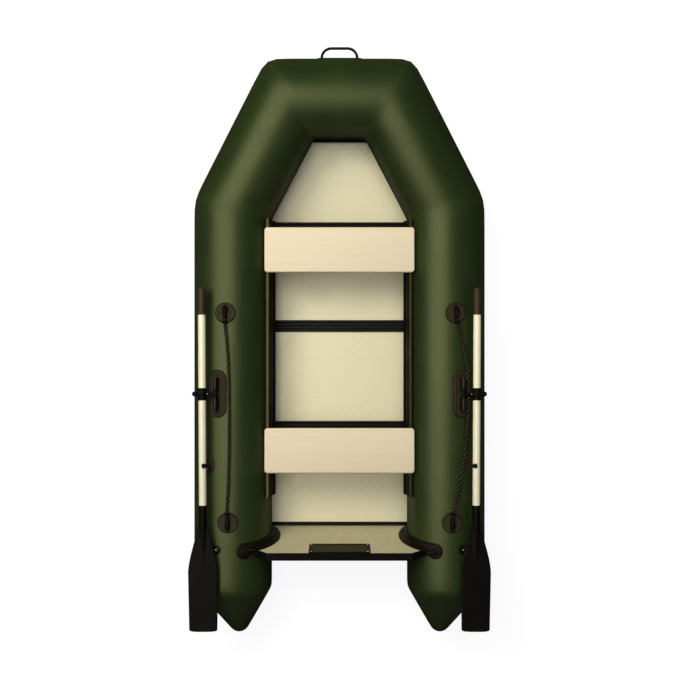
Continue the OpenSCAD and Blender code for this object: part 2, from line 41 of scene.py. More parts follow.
# Camera: straight above the boat, with the bow at the top of the picture.
# The field of view is that of a plain lens about five metres over the ground.
camera = bpy.data.objects.new("camera", bpy.data.cameras.new("camera"))
camera.data.sensor_width = 36
camera.data.lens = 52
camera.location = (0.0025, 0.005, 5.03)
scene.collection.objects.link(camera)
scene.camera = camera

# Side ropes: black twisted rope of three strands along the top of each side tube.
# Each rope is tied to the eyes of the front and rear rope pads and lies on the tube between them.
MM = 0.001
ROPE_R = 8 * MM
ROPE_STRANDS = 3
ROPE_PITCH = 48 * MM
ROPE_STEP = 4 * MM
ROPE_SIDES = 18
ROPE_GROOVE = 0.22
ROPE_TOP = Vector((0.3, 0.2, 1))
CURVE_STEPS = 30
UNEVEN = 0.07
ROPE_ROUTES = {
    "left": [(-542, 103, 392), (-542, 88, 392), (-538, 50, 389.6), (-532, -10, 388.6), (-526, -90, 388.6),
             (-522, -220, 388.6), (-521, -380, 388.6), (-522, -540, 388.6), (-526, -690, 388.6),
             (-532, -785, 390.5), (-533, -816, 392.4), (-533, -831, 392.4)],
    "right": [(553, 103, 391), (557, 88, 390.5), (569, 50, 384.5), (580, 10, 380), (590, -40, 376.4),
              (601, -95, 374.2), (609, -140, 374.6), (612, -250, 372.6), (610, -364, 374), (604, -430, 371.6),
              (594, -540, 375), (584, -600, 378.4), (566, -700, 383.2), (547, -770, 388), (540, -795, 392),
              (536, -816, 392.4), (535, -831, 392.4)],
}


def linear(code):
    """An sRGB hex colour as linear red, green, blue and alpha."""
    parts = [int(code[i:i + 2], 16) / 255 for i in (1, 3, 5)]
    return [p / 12.92 if p <= 0.04045 else ((p + 0.055) / 1.055) ** 2.4 for p in parts] + [1]


def add_node(tree, kind, inputs=None, **settings):
    """Adds a shader node with its settings, and sets or links its inputs."""
    node = tree.nodes.new("ShaderNode" + kind)
    for name, value in settings.items():
        setattr(node, name, value)
    for socket, value in (inputs or {}).items():
        if isinstance(value, bpy.types.NodeSocket):
            tree.links.new(value, node.inputs[socket])
        else:
            node.inputs[socket].default_value = value
    return node


def new_material(name):
    """A new material with its node tree and its surface shader."""
    material = bpy.data.materials.new(name)
    material.use_nodes = True
    return material, material.node_tree, material.node_tree.nodes["Principled BSDF"]


def set_surface(tree, shader, tone, gloss, bump):
    """Gives a surface shader its tone, its gloss and its relief."""
    tree.links.new(tone, shader.inputs["Base Color"])
    tree.links.new(gloss, shader.inputs["Roughness"])
    tree.links.new(bump.outputs["Normal"], shader.inputs["Normal"])


def moulded(name, colour, worn, roughness, grain_mm, relief_mm, patch_mm=60, gleam=0.5):
    """A moulded or coated surface: two tones in patches, uneven gloss and a fine grain."""
    material, tree, shader = new_material(name)
    place = add_node(tree, "TexCoord").outputs["Object"]
    patches = add_node(tree, "TexNoise", {"Vector": place, "Scale": 1 / (patch_mm * MM),
                                          "Detail": 4.0}).outputs["Fac"]
    tone = add_node(tree, "Mix", {"Factor": patches, "A": linear(colour), "B": linear(worn)},
                    data_type="RGBA")
    gloss = add_node(tree, "MapRange", {"Value": patches, "From Min": 0.3, "From Max": 0.7,
                                        "To Min": roughness - UNEVEN, "To Max": roughness + UNEVEN})
    grain = add_node(tree, "TexNoise", {"Vector": place, "Scale": 1 / (grain_mm * MM), "Detail": 3.0})
    bump = add_node(tree, "Bump", {"Height": grain.outputs["Fac"], "Strength": 0.6,
                                   "Distance": relief_mm * MM})
    set_surface(tree, shader, tone.outputs["Result"], gloss.outputs["Result"], bump)
    shader.inputs["Specular IOR Level"].default_value = gleam
    return material


def add_piece(name, bm, material, replaced=(), body="hull", sharp_deg=35):
    """Makes a piece that rides on a body and stands for the named nodes."""
    bmesh.ops.recalc_face_normals(bm, faces=bm.faces)
    for face in bm.faces:
        face.smooth = True
    mesh = bpy.data.meshes.new(name)
    bm.to_mesh(mesh)
    bm.free()
    mesh.set_sharp_from_angle(angle=math.radians(sharp_deg))
    mesh.materials.append(material)
    piece = bpy.data.objects.new(name, mesh)
    scene.collection.objects.link(piece)
    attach(piece, body)
    if replaced:
        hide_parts(*replaced)
    return piece


def ring(bm, matrix, radius, count):
    """A closed loop of edges, placed by a matrix."""
    verts = bmesh.ops.create_circle(bm, segments=count, radius=radius, matrix=matrix)["verts"]
    return list({edge for vert in verts for edge in vert.link_edges})


def loft(bm, rings):
    """Joins loops of edges into a skin with closed ends."""
    for first, second in zip(rings, rings[1:]):
        bmesh.ops.bridge_loops(bm, edges=first + second)
    for end in (rings[0], rings[-1]):
        bmesh.ops.contextual_create(bm, geom=end)


def along_frame(point, along, across):
    """A frame at a point with Z along a direction and X as near as can be to another."""
    z = along.normalized()
    y = z.cross(across).normalized()
    return Matrix.Translation(point) @ Matrix((y.cross(z), y, z)).transposed().to_4x4()


def smooth_route(points, step):
    """Even points on the smooth curve through a route's points."""
    fine = []
    ends = [points[0]] + points + [points[-1]]
    for p0, p1, p2, p3 in zip(ends, ends[1:], ends[2:], ends[3:]):
        for t in [s / CURVE_STEPS for s in range(CURVE_STEPS)]:
            fine.append(0.5 * (2 * p1 + (p2 - p0) * t + (2 * p0 - 5 * p1 + 4 * p2 - p3) * t * t
                               + (3 * p1 - p0 - 3 * p2 + p3) * t * t * t))
    fine.append(points[-1])
    even, run = [fine[0]], 0
    for a, b in zip(fine, fine[1:]):
        run += (b - a).length
        if run >= step:
            even.append(b)
            run = 0
    if (fine[-1] - even[-1]).length > step / 3:
        even.append(fine[-1])
    return even


def twisted_rope(bm, path):
    """A rope of round strands laid round each other along a path, with the strands' crests marked."""
    crests = bm.verts.layers.float.new("crest")
    rings = []
    for i, point in enumerate(path):
        along = path[min(i + 1, len(path) - 1)] - path[max(i - 1, 0)]
        loop = ring(bm, Matrix.Identity(4), ROPE_R, ROPE_SIDES)
        turn = along_frame(point, along, ROPE_TOP)
        twist = 2 * math.pi * i * ROPE_STEP / ROPE_PITCH
        for vert in {v for edge in loop for v in edge.verts}:
            angle = math.atan2(vert.co.y, vert.co.x) - twist
            vert[crests] = abs(math.cos(ROPE_STRANDS * angle / 2))
            vert.co = turn @ (vert.co * (1 - ROPE_GROOVE * (1 - vert[crests])))
        rings.append(loop)
    loft(bm, rings)


# Polyester rope: matt black yarn, with a painted pale olive highlight on the strands' crests
rope_yarn = moulded("twisted_polyester_rope", "#030302", "#0b0a07", 0.8, 2, 0.6, patch_mm=8, gleam=0.15)
tree, shader = rope_yarn.node_tree, rope_yarn.node_tree.nodes["Principled BSDF"]
# The strands' crests are painted pale olive: a painted highlight
crest = add_node(tree, "Attribute", attribute_name="crest").outputs["Fac"]
crest_highlight = add_node(tree, "MapRange", {"Value": crest, "From Min": 0.86, "From Max": 1.0})
dark = shader.inputs["Base Color"].links[0].from_socket
tone = add_node(tree, "Mix", {"Factor": crest_highlight.outputs["Result"], "A": dark, "B": linear("#6e6549")},
                data_type="RGBA")
tree.links.new(tone.outputs["Result"], shader.inputs["Base Color"])
ropes = {}
for side, route in ROPE_ROUTES.items():
    path = smooth_route([Vector(p) * MM for p in route], ROPE_STEP)
    bm = bmesh.new()
    twisted_rope(bm, path)
    rope = add_piece(f"side_rope_{side}_strands", bm, rope_yarn, [f"side_rope_{side}"], sharp_deg=80)
    ropes[side] = (path, rope)

# Air tubes: one ring of coated fabric from stern cone to stern cone, pumped hard.
# Panels are welded edge to edge at the bends, and the air pressure rounds the outer corners off.
TUBE_R = 190 * MM
UP, AHEAD = Vector((0, 0, 1)), Vector((0, 1, 0))
SIDE_X, BEND_Y = 523 * MM, 645 * MM
BOW_X, BOW_Y, BOW_RISE = 238 * MM, 1170 * MM, 85 * MM
CONE_Y, CONE_LEN, CONE_TIP_R, CONE_TIP_IN = -1204 * MM, 225 * MM, 53 * MM, 30 * MM
BEND_REACH_IN, BEND_REACH_OUT = 22 * MM, 95 * MM
SHOULDER_REACH = 35 * MM
CONE_SHARES, TIP_SHARES = (0, 0.12, 0.4, 0.7, 0.93), (0.12, 0.4, 0.66, 0.86)
SPAN_LEN, SPAN_CLEAR = 200 * MM, 120 * MM
BEND_TAPE, BOW_TAPE = 18 * MM, 28 * MM
SCUFF_UP = 110 * MM
TUBE_SIDES = 48

# A loop that is smoothed by subdivision shrinks a little, so it starts larger
loop_r = TUBE_R / (2 / 3 + math.cos(2 * math.pi / TUBE_SIDES) / 3)


def tube_loop(bm, centre, axis, cut, shift=0):
    """A loop on a tube, cut by a plane and shifted along the axis, further outside a bend than inside it."""
    loop = ring(bm, along_frame(centre, axis, UP), loop_r, TUBE_SIDES)
    outside = cut - axis * cut.dot(axis)
    for vert in {v for edge in loop for v in edge.verts}:
        out = (vert.co - centre).dot(outside.normalized()) / loop_r if shift else 0
        reach = BEND_REACH_IN + (BEND_REACH_OUT - BEND_REACH_IN) * (1 + out * math.copysign(1, shift)) / 2
        vert.co -= axis * (vert.co - centre).dot(cut) / axis.dot(cut)
        vert.co += axis * math.copysign(reach, shift) if shift else Vector()
    return loop


def cone_loops(bm, shoulder, inboard):
    """Loops from a stern cone's shoulder to its round tip."""
    tip = shoulder + Vector((inboard * CONE_TIP_IN, CONE_TIP_R - CONE_LEN, 0))
    depth = CONE_LEN - CONE_TIP_R
    slope = math.atan2(TUBE_R, depth) - math.asin(CONE_TIP_R / math.hypot(depth, TUBE_R))
    end = tip - Vector((0, CONE_TIP_R * math.sin(slope), 0))
    stations = [(shoulder.lerp(end, share), loop_r + (CONE_TIP_R * math.cos(slope) - loop_r) * share)
                for share in CONE_SHARES]
    for angle in [slope + (math.pi / 2 - slope) * share for share in TIP_SHARES]:
        stations.append((tip - Vector((0, CONE_TIP_R * math.sin(angle), 0)), CONE_TIP_R * math.cos(angle)))
    return [ring(bm, along_frame(centre, AHEAD, UP), radius, TUBE_SIDES) for centre, radius in stations]


corners = [Vector((SIDE_X, CONE_Y, TUBE_R)), Vector((SIDE_X, BEND_Y, TUBE_R)),
           Vector((BOW_X, BOW_Y, TUBE_R + BOW_RISE))]
corners += [Vector((-c.x, c.y, c.z)) for c in reversed(corners)]
runs = [(b - a).normalized() for a, b in zip(corners, corners[1:])]
bm = bmesh.new()
rings = list(reversed(cone_loops(bm, corners[0], -1)))
for i, run in enumerate(runs):
    start, end = corners[i], corners[i + 1]
    length = (end - start).length
    if i == 0:
        rings.append(tube_loop(bm, start + run * SHOULDER_REACH, run, run))
    else:
        rings.append(tube_loop(bm, start, run, (runs[i - 1] + run).normalized(), 1))
    spans = max(2, round(length / SPAN_LEN))
    for k in range(1, spans):
        place = start + run * (SPAN_CLEAR + (length - 2 * SPAN_CLEAR) * k / spans)
        rings.append(tube_loop(bm, place, run, run))
    if i == len(runs) - 1:
        rings.append(tube_loop(bm, end - run * SHOULDER_REACH, run, run))
    else:
        rings.append(tube_loop(bm, end, run, (run + runs[i + 1]).normalized(), -1))
        rings.append(tube_loop(bm, end, run, (run + runs[i + 1]).normalized()))
rings += cone_loops(bm, corners[-1], 1)
loft(bm, rings)

# Coated fabric: a satin film over a woven cloth, dark green, with faint clouds and a slight unevenness
coated_fabric, tree, shader = new_material("coated_boat_fabric")
place = add_node(tree, "TexCoord").outputs["Object"]
clouds = add_node(tree, "TexNoise", {"Vector": place, "Scale": 1 / (180 * MM), "Detail": 5.0}).outputs["Fac"]
tone = add_node(tree, "Mix", {"Factor": clouds, "A": linear("#14220a"), "B": linear("#1d2d0e")},
                data_type="RGBA")
gloss = add_node(tree, "MapRange", {"Value": clouds, "From Min": 0.3, "From Max": 0.7,
                                    "To Min": 0.4, "To Max": 0.47})
weave = add_node(tree, "TexNoise", {"Vector": place, "Scale": 1 / (9 * MM), "Detail": 6.0}).outputs["Fac"]
bump = add_node(tree, "Bump", {"Height": weave, "Strength": 0.25, "Distance": 0.6 * MM})
spot = add_node(tree, "SeparateXYZ", {"Vector": place}).outputs
# Seam tapes are welded over the joints at the bends and across the middle of the bow
quarter = Vector((BOW_X - SIDE_X, BOW_Y - BEND_Y)).normalized()
SEAMS = [(Vector((SIDE_X, BEND_Y)), (quarter + Vector((0, 1))).normalized(), BEND_TAPE),
         (Vector((BOW_X, BOW_Y)), (quarter + Vector((-1, 0))).normalized(), BEND_TAPE),
         (Vector((0, BOW_Y)), Vector((1, 0)), BOW_TAPE)]
half = add_node(tree, "Math", {0: spot["X"]}, operation="ABSOLUTE")
plan = add_node(tree, "CombineXYZ", {"X": half.outputs[0], "Y": spot["Y"]}).outputs["Vector"]
tape = 0.0
for corner, across, reach in SEAMS:
    off = add_node(tree, "VectorMath", {0: plan, 1: (*across, 0)}, operation="DOT_PRODUCT").outputs["Value"]
    near = add_node(tree, "Math", {0: off, 1: corner.dot(across), 2: reach}, operation="COMPARE").outputs[0]
    tape = add_node(tree, "Math", {0: near, 1: tape}, operation="MAXIMUM").outputs[0]
taped = add_node(tree, "Mix", {"Factor": tape, "A": tone.outputs["Result"], "B": linear("#1d2c10")},
                 data_type="RGBA")
bump = add_node(tree, "Bump", {"Height": tape, "Strength": 0.5, "Distance": 0.8 * MM,
                               "Normal": bump.outputs["Normal"]})
# Below mid height, which climbs towards the bow, the fabric is scuffed dull
climb = add_node(tree, "MapRange", {"Value": spot["Y"], "From Min": BEND_Y, "From Max": BOW_Y - TUBE_R,
                                    "To Max": BOW_RISE})
height = add_node(tree, "Math", {0: spot["Z"], 1: climb.outputs["Result"]}, operation="SUBTRACT")
rise = {"Value": height.outputs[0], "From Min": TUBE_R, "From Max": TUBE_R + SCUFF_UP}
scuffed = add_node(tree, "MapRange", {**rise, "To Min": 0.9, "To Max": 0.3})
rough = add_node(tree, "Math", {0: gloss.outputs["Result"], 1: scuffed.outputs["Result"]},
                 operation="MAXIMUM")
set_surface(tree, shader, taped.outputs["Result"], rough.outputs[0], bump)
sheen = add_node(tree, "MapRange", {**rise, "To Min": 0.02, "To Max": 0.76})
tree.links.new(sheen.outputs["Result"], shader.inputs["Specular IOR Level"])
shader.inputs["Specular Tint"].default_value = linear("#f4f8c4")
skin = add_piece("air_tube_skin", bm, coated_fabric,
                 ["bow_tube", "bow_quarter_left", "bow_quarter_right", "side_tube_left", "side_tube_right",
                  "stern_cone_left", "stern_cone_right"], sharp_deg=180)
rounding = skin.modifiers.new("rounding", "SUBSURF")
rounding.levels = rounding.render_levels = 1

# Bottom: one sheet of coated fabric between the tubes, level aft and rising with the bow.
# Its edges are lapped under the tubes and glued on, and the floor panels press on it from above.
SHEET_T, SHEET_MID_Z, SHEET_REAR = 1.2 * MM, 18 * MM, -981 * MM
LAP_END_DEG, LAP_MID_DEG = 14, 20
SHEET_COLUMNS = 10
BOW_UP = Vector((0, -BOW_RISE, BOW_Y - BEND_Y)).normalized()
sheet_corners = [(Vector((SIDE_X, SHEET_REAR, TUBE_R)), runs[0], runs[0], UP),
                 (corners[1], runs[0], runs[0] + runs[1], UP),
                 (corners[2], runs[1], runs[1] + runs[2], BOW_UP)]


def sheet_row(corner, run, cut, up):
    """A row of points across the sheet, with its laps on both sides."""
    right = []
    for angle in (math.radians(LAP_END_DEG), math.radians(LAP_MID_DEG), math.acos(1 - SHEET_MID_Z / TUBE_R)):
        point = (TUBE_R + SHEET_T) * (up.cross(run) * math.sin(angle) - up * math.cos(angle))
        right.append(corner + point - run * point.dot(cut) / run.dot(cut))
    left = [Vector((-p.x, p.y, p.z)) for p in reversed(right)]
    return right + [right[2].lerp(left[0], k / SHEET_COLUMNS) for k in range(1, SHEET_COLUMNS)] + left


rows = [sheet_row(*corner) for corner in sheet_corners]
for lap in (1, 0):
    bow = rows[2]
    edge = [bow[lap].lerp(bow[-1 - lap], k / SHEET_COLUMNS) for k in range(SHEET_COLUMNS + 1)]
    rows.append(bow[:lap] + edge[:1] * (2 - lap) + edge + edge[-1:] * (2 - lap) + (bow[-lap:] if lap else []))
columns = len(rows[0]) - 1
bm = bmesh.new()
bmesh.ops.create_grid(bm, x_segments=columns, y_segments=len(rows) - 1, size=0.5)
for vert in bm.verts:
    vert.co = rows[round((vert.co.y + 0.5) * (len(rows) - 1))][round((vert.co.x + 0.5) * columns)]
bmesh.ops.remove_doubles(bm, verts=bm.verts, dist=0.01 * MM)
bmesh.ops.recalc_face_normals(bm, faces=bm.faces)
sheet_area = sum(face.calc_area() for face in bm.faces)
middle = [row[columns // 2] for row in rows]
bmesh.ops.solidify(bm, geom=bm.faces[:], thickness=SHEET_T)
bottom = add_piece("bottom_sheet_fabric", bm, coated_fabric, ["bottom_sheet"])

# Floor panels: pressed aluminium boards, three level ones and one that folds up into the bow.
# Raised dots in staggered rows cover them, and the bow panel's front edge is rolled over.
DOT_PITCH = 14 * MM
RIM_R, RIM_HALF, RIM_Y, RIM_Z = 4 * MM, 150 * MM, 992 * MM, 106 * MM


def dress(material, *names):
    """Gives nodes of the construction their finish."""
    for name in names:
        nodes[name].data.materials.clear()
        nodes[name].data.materials.append(material)


def bar(bm, path, radii, across, sides=12, closed=False):
    """A bar of oval section along a path, with its half width and half height at each point."""
    rings = []
    ends = [path[-1]] + path + [path[0]] if closed else [path[0]] + path + [path[-1]]
    for i, (before, point, after) in enumerate(zip(ends, path, ends[2:])):
        wide, high = radii[i] if isinstance(radii, list) else radii
        turn = along_frame(point, after - before, across) @ Matrix.Diagonal((wide, high, 1, 1))
        rings.append(ring(bm, turn, 1, sides))
    if closed:
        for first, second in zip(rings, rings[1:] + rings[:1]):
            bmesh.ops.bridge_loops(bm, edges=first + second)
    else:
        loft(bm, rings)


# Embossed aluminium: warm and half matt, painted lighter on the tops of its dots as a painted highlight, with
# faint scuffs
floor_metal, tree, shader = new_material("embossed_aluminium")
place = add_node(tree, "TexCoord").outputs["Object"]
turned = add_node(tree, "Mapping", {"Vector": place, "Rotation": (0, 0, math.pi / 4)}).outputs["Vector"]
cells = add_node(tree, "TexVoronoi", {"Vector": turned, "Scale": 1 / DOT_PITCH, "Randomness": 0.0},
                 voronoi_dimensions="2D").outputs["Distance"]
dots = add_node(tree, "MapRange", {"Value": cells, "From Min": 0.16, "From Max": 0.4,
                                   "To Min": 1.0, "To Max": 0.0},
                interpolation_type="SMOOTHSTEP").outputs["Result"]
scuffs = add_node(tree, "TexNoise", {"Vector": place, "Scale": 1 / (90 * MM), "Detail": 6.0}).outputs["Fac"]
ground_tone = add_node(tree, "Mix", {"Factor": scuffs, "A": linear("#cec9ae"), "B": linear("#d7d1b6")},
                       data_type="RGBA").outputs["Result"]
# The dots' tops are painted a lighter tone: a painted highlight
tone = add_node(tree, "Mix", {"Factor": dots, "A": ground_tone, "B": linear("#e6e0c6")}, data_type="RGBA")
gloss = add_node(tree, "MapRange", {"Value": scuffs, "From Min": 0.3, "From Max": 0.7,
                                    "To Min": 0.4, "To Max": 0.52})
bump = add_node(tree, "Bump", {"Height": dots, "Strength": 0.25, "Distance": 0.4 * MM})
set_surface(tree, shader, tone.outputs["Result"], gloss.outputs["Result"], bump)
shader.inputs["Metallic"].default_value = 0.2
dress(floor_metal, "floor_panel_bow", "floor_panel_front", "floor_panel_middle", "floor_panel_rear")
bm = bmesh.new()
bar(bm, [Vector((x, RIM_Y, RIM_Z)) for x in (-RIM_HALF, 0, RIM_HALF)], (RIM_R, RIM_R), AHEAD)
add_piece("bow_panel_rolled_edge", bm, floor_metal)

# Floor joiners: black plastic profiles that take the panels' edges, with rounded ribs along their tops.
# The front one is bent to the fold, and a plain strip closes the floor at the transom.
JOINER_YS, JOINER_HALF, JOINER_TOP = (573 * MM, 76 * MM, -436 * MM), 396 * MM, 42.5 * MM
RIB_OFFSETS, RIB_HALF, RIB_H = (-25 * MM, -9 * MM, 9 * MM, 25 * MM), 4.5 * MM, 2.6 * MM
# Black plastic: satin, slightly brown where it is worn
black_plastic = moulded("black_plastic", "#060504", "#0c0b09", 0.5, 1.2, 0.2, gleam=0.12)
dress(black_plastic, "floor_joiner_front", "floor_joiner_middle", "floor_joiner_rear", "floor_end_strip")
bm = bmesh.new()
for joiner_y in JOINER_YS:
    for offset in RIB_OFFSETS:
        climb = max(offset, 0) * BOW_RISE / (BOW_Y - BEND_Y) if joiner_y == JOINER_YS[0] else 0
        ends = [Vector((x, joiner_y + offset, JOINER_TOP + climb)) for x in (-JOINER_HALF, 0, JOINER_HALF)]
        bar(bm, ends, (RIB_HALF, RIB_H), AHEAD)
# The ribs are polished by feet
rib_plastic = moulded("polished_black_plastic", "#070605", "#0c0b08", 0.35, 2, 0.1, gleam=0.3)
add_piece("floor_joiner_ribs", bm, rib_plastic)

# Transom: a leaning plywood board, painted, with a black edge trim pressed on its top.
# Its ears stand in moulded rubber holders that are glued round the tubes' inner sides.
TRANSOM_Y, TRANSOM_Z, TRANSOM_T, TRANSOM_LEAN = -935 * MM, 20 * MM, 26 * MM, math.radians(9.5)
SIDES = {"left": -1, "right": 1}
HOLDER_FROM_DEG, HOLDER_TO_DEG, HOLDER_STEPS = -45, 68, 24
HOLDER_END_Y, HOLDER_END_DEG, LIP_FADE_DEG, SLIM_FROM_DEG = -998 * MM, -21.5, 54, 24
LIP_FOOT_R, HOLDER_HALF_W, SLIM_HALF_W, SLIM_SHARE = 204, 45, 14, 0.7
HOLDER_HALF_SECTION = [(190.6, 45), (198, 45), (202, 43), (204, 39), (204, 25), (208, 21.3), (229, 21.3),
                       (231.5, 20), (232, 17.5), (231, 14.5), (229, 13.4), (204.6, 13.4)]
CAP_PROFILE = [(0, 13), (6, 12.6), (10, 11), (12, 8.4), (14, 7.4), (28, 7.2), (34, 6.6), (37, 5), (38, 3),
               (38, 0.4)]


def lathe(bm, profile, place, steps=24):
    """Spins a profile of radii and heights in millimetres about Z, and places it."""
    old = set(bm.verts)
    verts = [bm.verts.new((r * MM, 0, z * MM)) for r, z in profile]
    edges = [bm.edges.new(pair) for pair in zip(verts, verts[1:])]
    bmesh.ops.spin(bm, geom=verts + edges, axis=(0, 0, 1), angle=2 * math.pi, steps=steps, use_merge=True)
    bmesh.ops.remove_doubles(bm, verts=list(set(bm.verts) - old), dist=0.001 * MM)
    bmesh.ops.transform(bm, matrix=place, verts=list(set(bm.verts) - old))


def outline(bm, points):
    """A closed loop of edges through points."""
    verts = [bm.verts.new(point) for point in points]
    return [bm.edges.new(pair) for pair in zip(verts, verts[1:] + verts[:1])]


def on_tube(side, y, angle_deg):
    """From a fitting's own frame, with Z out of the skin and X outboard, to its place on a side tube."""
    place = Matrix.Translation((SIDE_X, y, TUBE_R)) @ Matrix.Rotation(math.radians(angle_deg), 4, "Y")
    return Matrix.Diagonal((side, 1, 1, 1)) @ place @ Matrix.Translation((0, 0, TUBE_R))


def wrap(bm, place):
    """Bends all that was made flat onto a tube's skin, and places it."""
    for vert in bm.verts:
        turn, reach = vert.co.x / TUBE_R, TUBE_R + vert.co.z
        vert.co = place @ Vector((reach * math.sin(turn), vert.co.y, reach * math.cos(turn) - TUBE_R))


def streaked(name, colour, worn, streak_mm, detail, smoothest, roughest, relief):
    """A painted board: two tones in streaks of a size, with uneven gloss and the streaks faintly raised."""
    material, tree, shader = new_material(name)
    place = add_node(tree, "TexCoord").outputs["Object"]
    drawn = add_node(tree, "Mapping", {"Vector": place, "Scale": [1 / (size * MM) for size in streak_mm]})
    streaks = add_node(tree, "TexNoise", {"Vector": drawn.outputs["Vector"], "Scale": 1.0,
                                          "Detail": detail}).outputs["Fac"]
    tone = add_node(tree, "Mix", {"Factor": streaks, "A": linear(colour), "B": linear(worn)},
                    data_type="RGBA")
    gloss = add_node(tree, "MapRange", {"Value": streaks, "To Min": smoothest, "To Max": roughest})
    bump = add_node(tree, "Bump", {"Height": streaks, "Strength": relief, "Distance": relief * MM})
    set_surface(tree, shader, tone.outputs["Result"], gloss.outputs["Result"], bump)
    return material


# Painted plywood: pale beige, with the veneer's grain faintly raised under the paint
transom_paint = streaked("painted_plywood", "#b2a987", "#cbc3a4", streak_mm=(22, 22, 700), detail=5.0,
                         smoothest=0.4, roughest=0.6, relief=0.4)
dress(transom_paint, "transom_board")
dress(black_plastic, "transom_top_trim")

# Black rubber: matt and a little brown
black_rubber = moulded("black_rubber", "#0b0904", "#130f07", 0.5, 1.5, 0.3, gleam=0.12)
section = HOLDER_HALF_SECTION + [(r, -y) for r, y in reversed(HOLDER_HALF_SECTION)]
for name, side in SIDES.items():
    bm = bmesh.new()
    lathe(bm, CAP_PROFILE, Matrix.Identity(4), steps=32)
    wrap(bm, on_tube(side, HOLDER_END_Y, HOLDER_END_DEG))
    rings = []
    for step in range(HOLDER_STEPS + 1):
        angle = math.radians(HOLDER_FROM_DEG + (HOLDER_TO_DEG - HOLDER_FROM_DEG) * step / HOLDER_STEPS)
        fade = min(max((math.degrees(angle) - LIP_FADE_DEG) / (HOLDER_TO_DEG - LIP_FADE_DEG), 0), 1)
        past = min(max((math.degrees(angle) - SLIM_FROM_DEG) / (LIP_FADE_DEG - SLIM_FROM_DEG), 0), 1)
        slim = 1 - SLIM_SHARE * past
        loop = []
        for r, y in section:
            r = r + (min(r, LIP_FOOT_R) - r) * fade
            y = max(y, y * slim, -HOLDER_HALF_W * slim - SLIM_HALF_W * (1 - slim))
            z = TUBE_R + r * MM * math.sin(angle)
            shift = TRANSOM_Y - TRANSOM_T / 2 - (z - TRANSOM_Z) * math.tan(TRANSOM_LEAN)
            loop.append((side * (SIDE_X - r * MM * math.cos(angle)), shift + y * MM, z))
        rings.append(outline(bm, loop))
    loft(bm, rings)
    add_piece(f"transom_holder_{name}_moulding", bm, black_rubber,
              [f"transom_holder_{name}"])

# Motor pads: rubber plates on both faces of the transom that a motor's clamps bite on.
# A raised frame runs round a diamond-ribbed face, and a screw holds each corner.
PAD_HALF, PAD_LOW, PAD_HIGH, PAD_T = 145, 286, 398, 8
FRAME_W, FRAME_FOOT, PAD_BACK_T, PAD_GAP = 12, 3, 6, 0.3
DIAMOND_COLUMNS, DIAMOND_ROWS, DIAMOND_RISE, DIAMOND_FOOT = 34, 12, 1.6 * MM, 2 * MM
SCREW_IN, SCREW_UP, SCREW_DOWN = 11, 9, 13
SCREW_PROFILE = [(0, 1.4), (2.5, 1.2), (4, 0.4), (4.2, -0.5), (0, -0.5)]
Z_AHEAD = Matrix.Rotation(-math.pi / 2, 4, "X")
on_transom = Matrix.Translation((0, TRANSOM_Y, TRANSOM_Z)) @ Matrix.Rotation(TRANSOM_LEAN, 4, "X")


def block(bm, low, high, place, edge=1.5):
    """A block with rounded edges between two corners in millimetres, placed by a matrix."""
    old = set(bm.verts)
    low, high = Vector(low) * MM, Vector(high) * MM
    fit = Matrix.Translation((low + high) / 2) @ Matrix.Diagonal((*(high - low), 1))
    verts = bmesh.ops.create_cube(bm, size=1, matrix=fit)["verts"]
    bmesh.ops.bevel(bm, geom=list({e for v in verts for e in v.link_edges}), offset=edge * MM,
                    affect="EDGES", segments=2, profile=0.5, clamp_overlap=True)
    bmesh.ops.transform(bm, matrix=place, verts=list(set(bm.verts) - old))


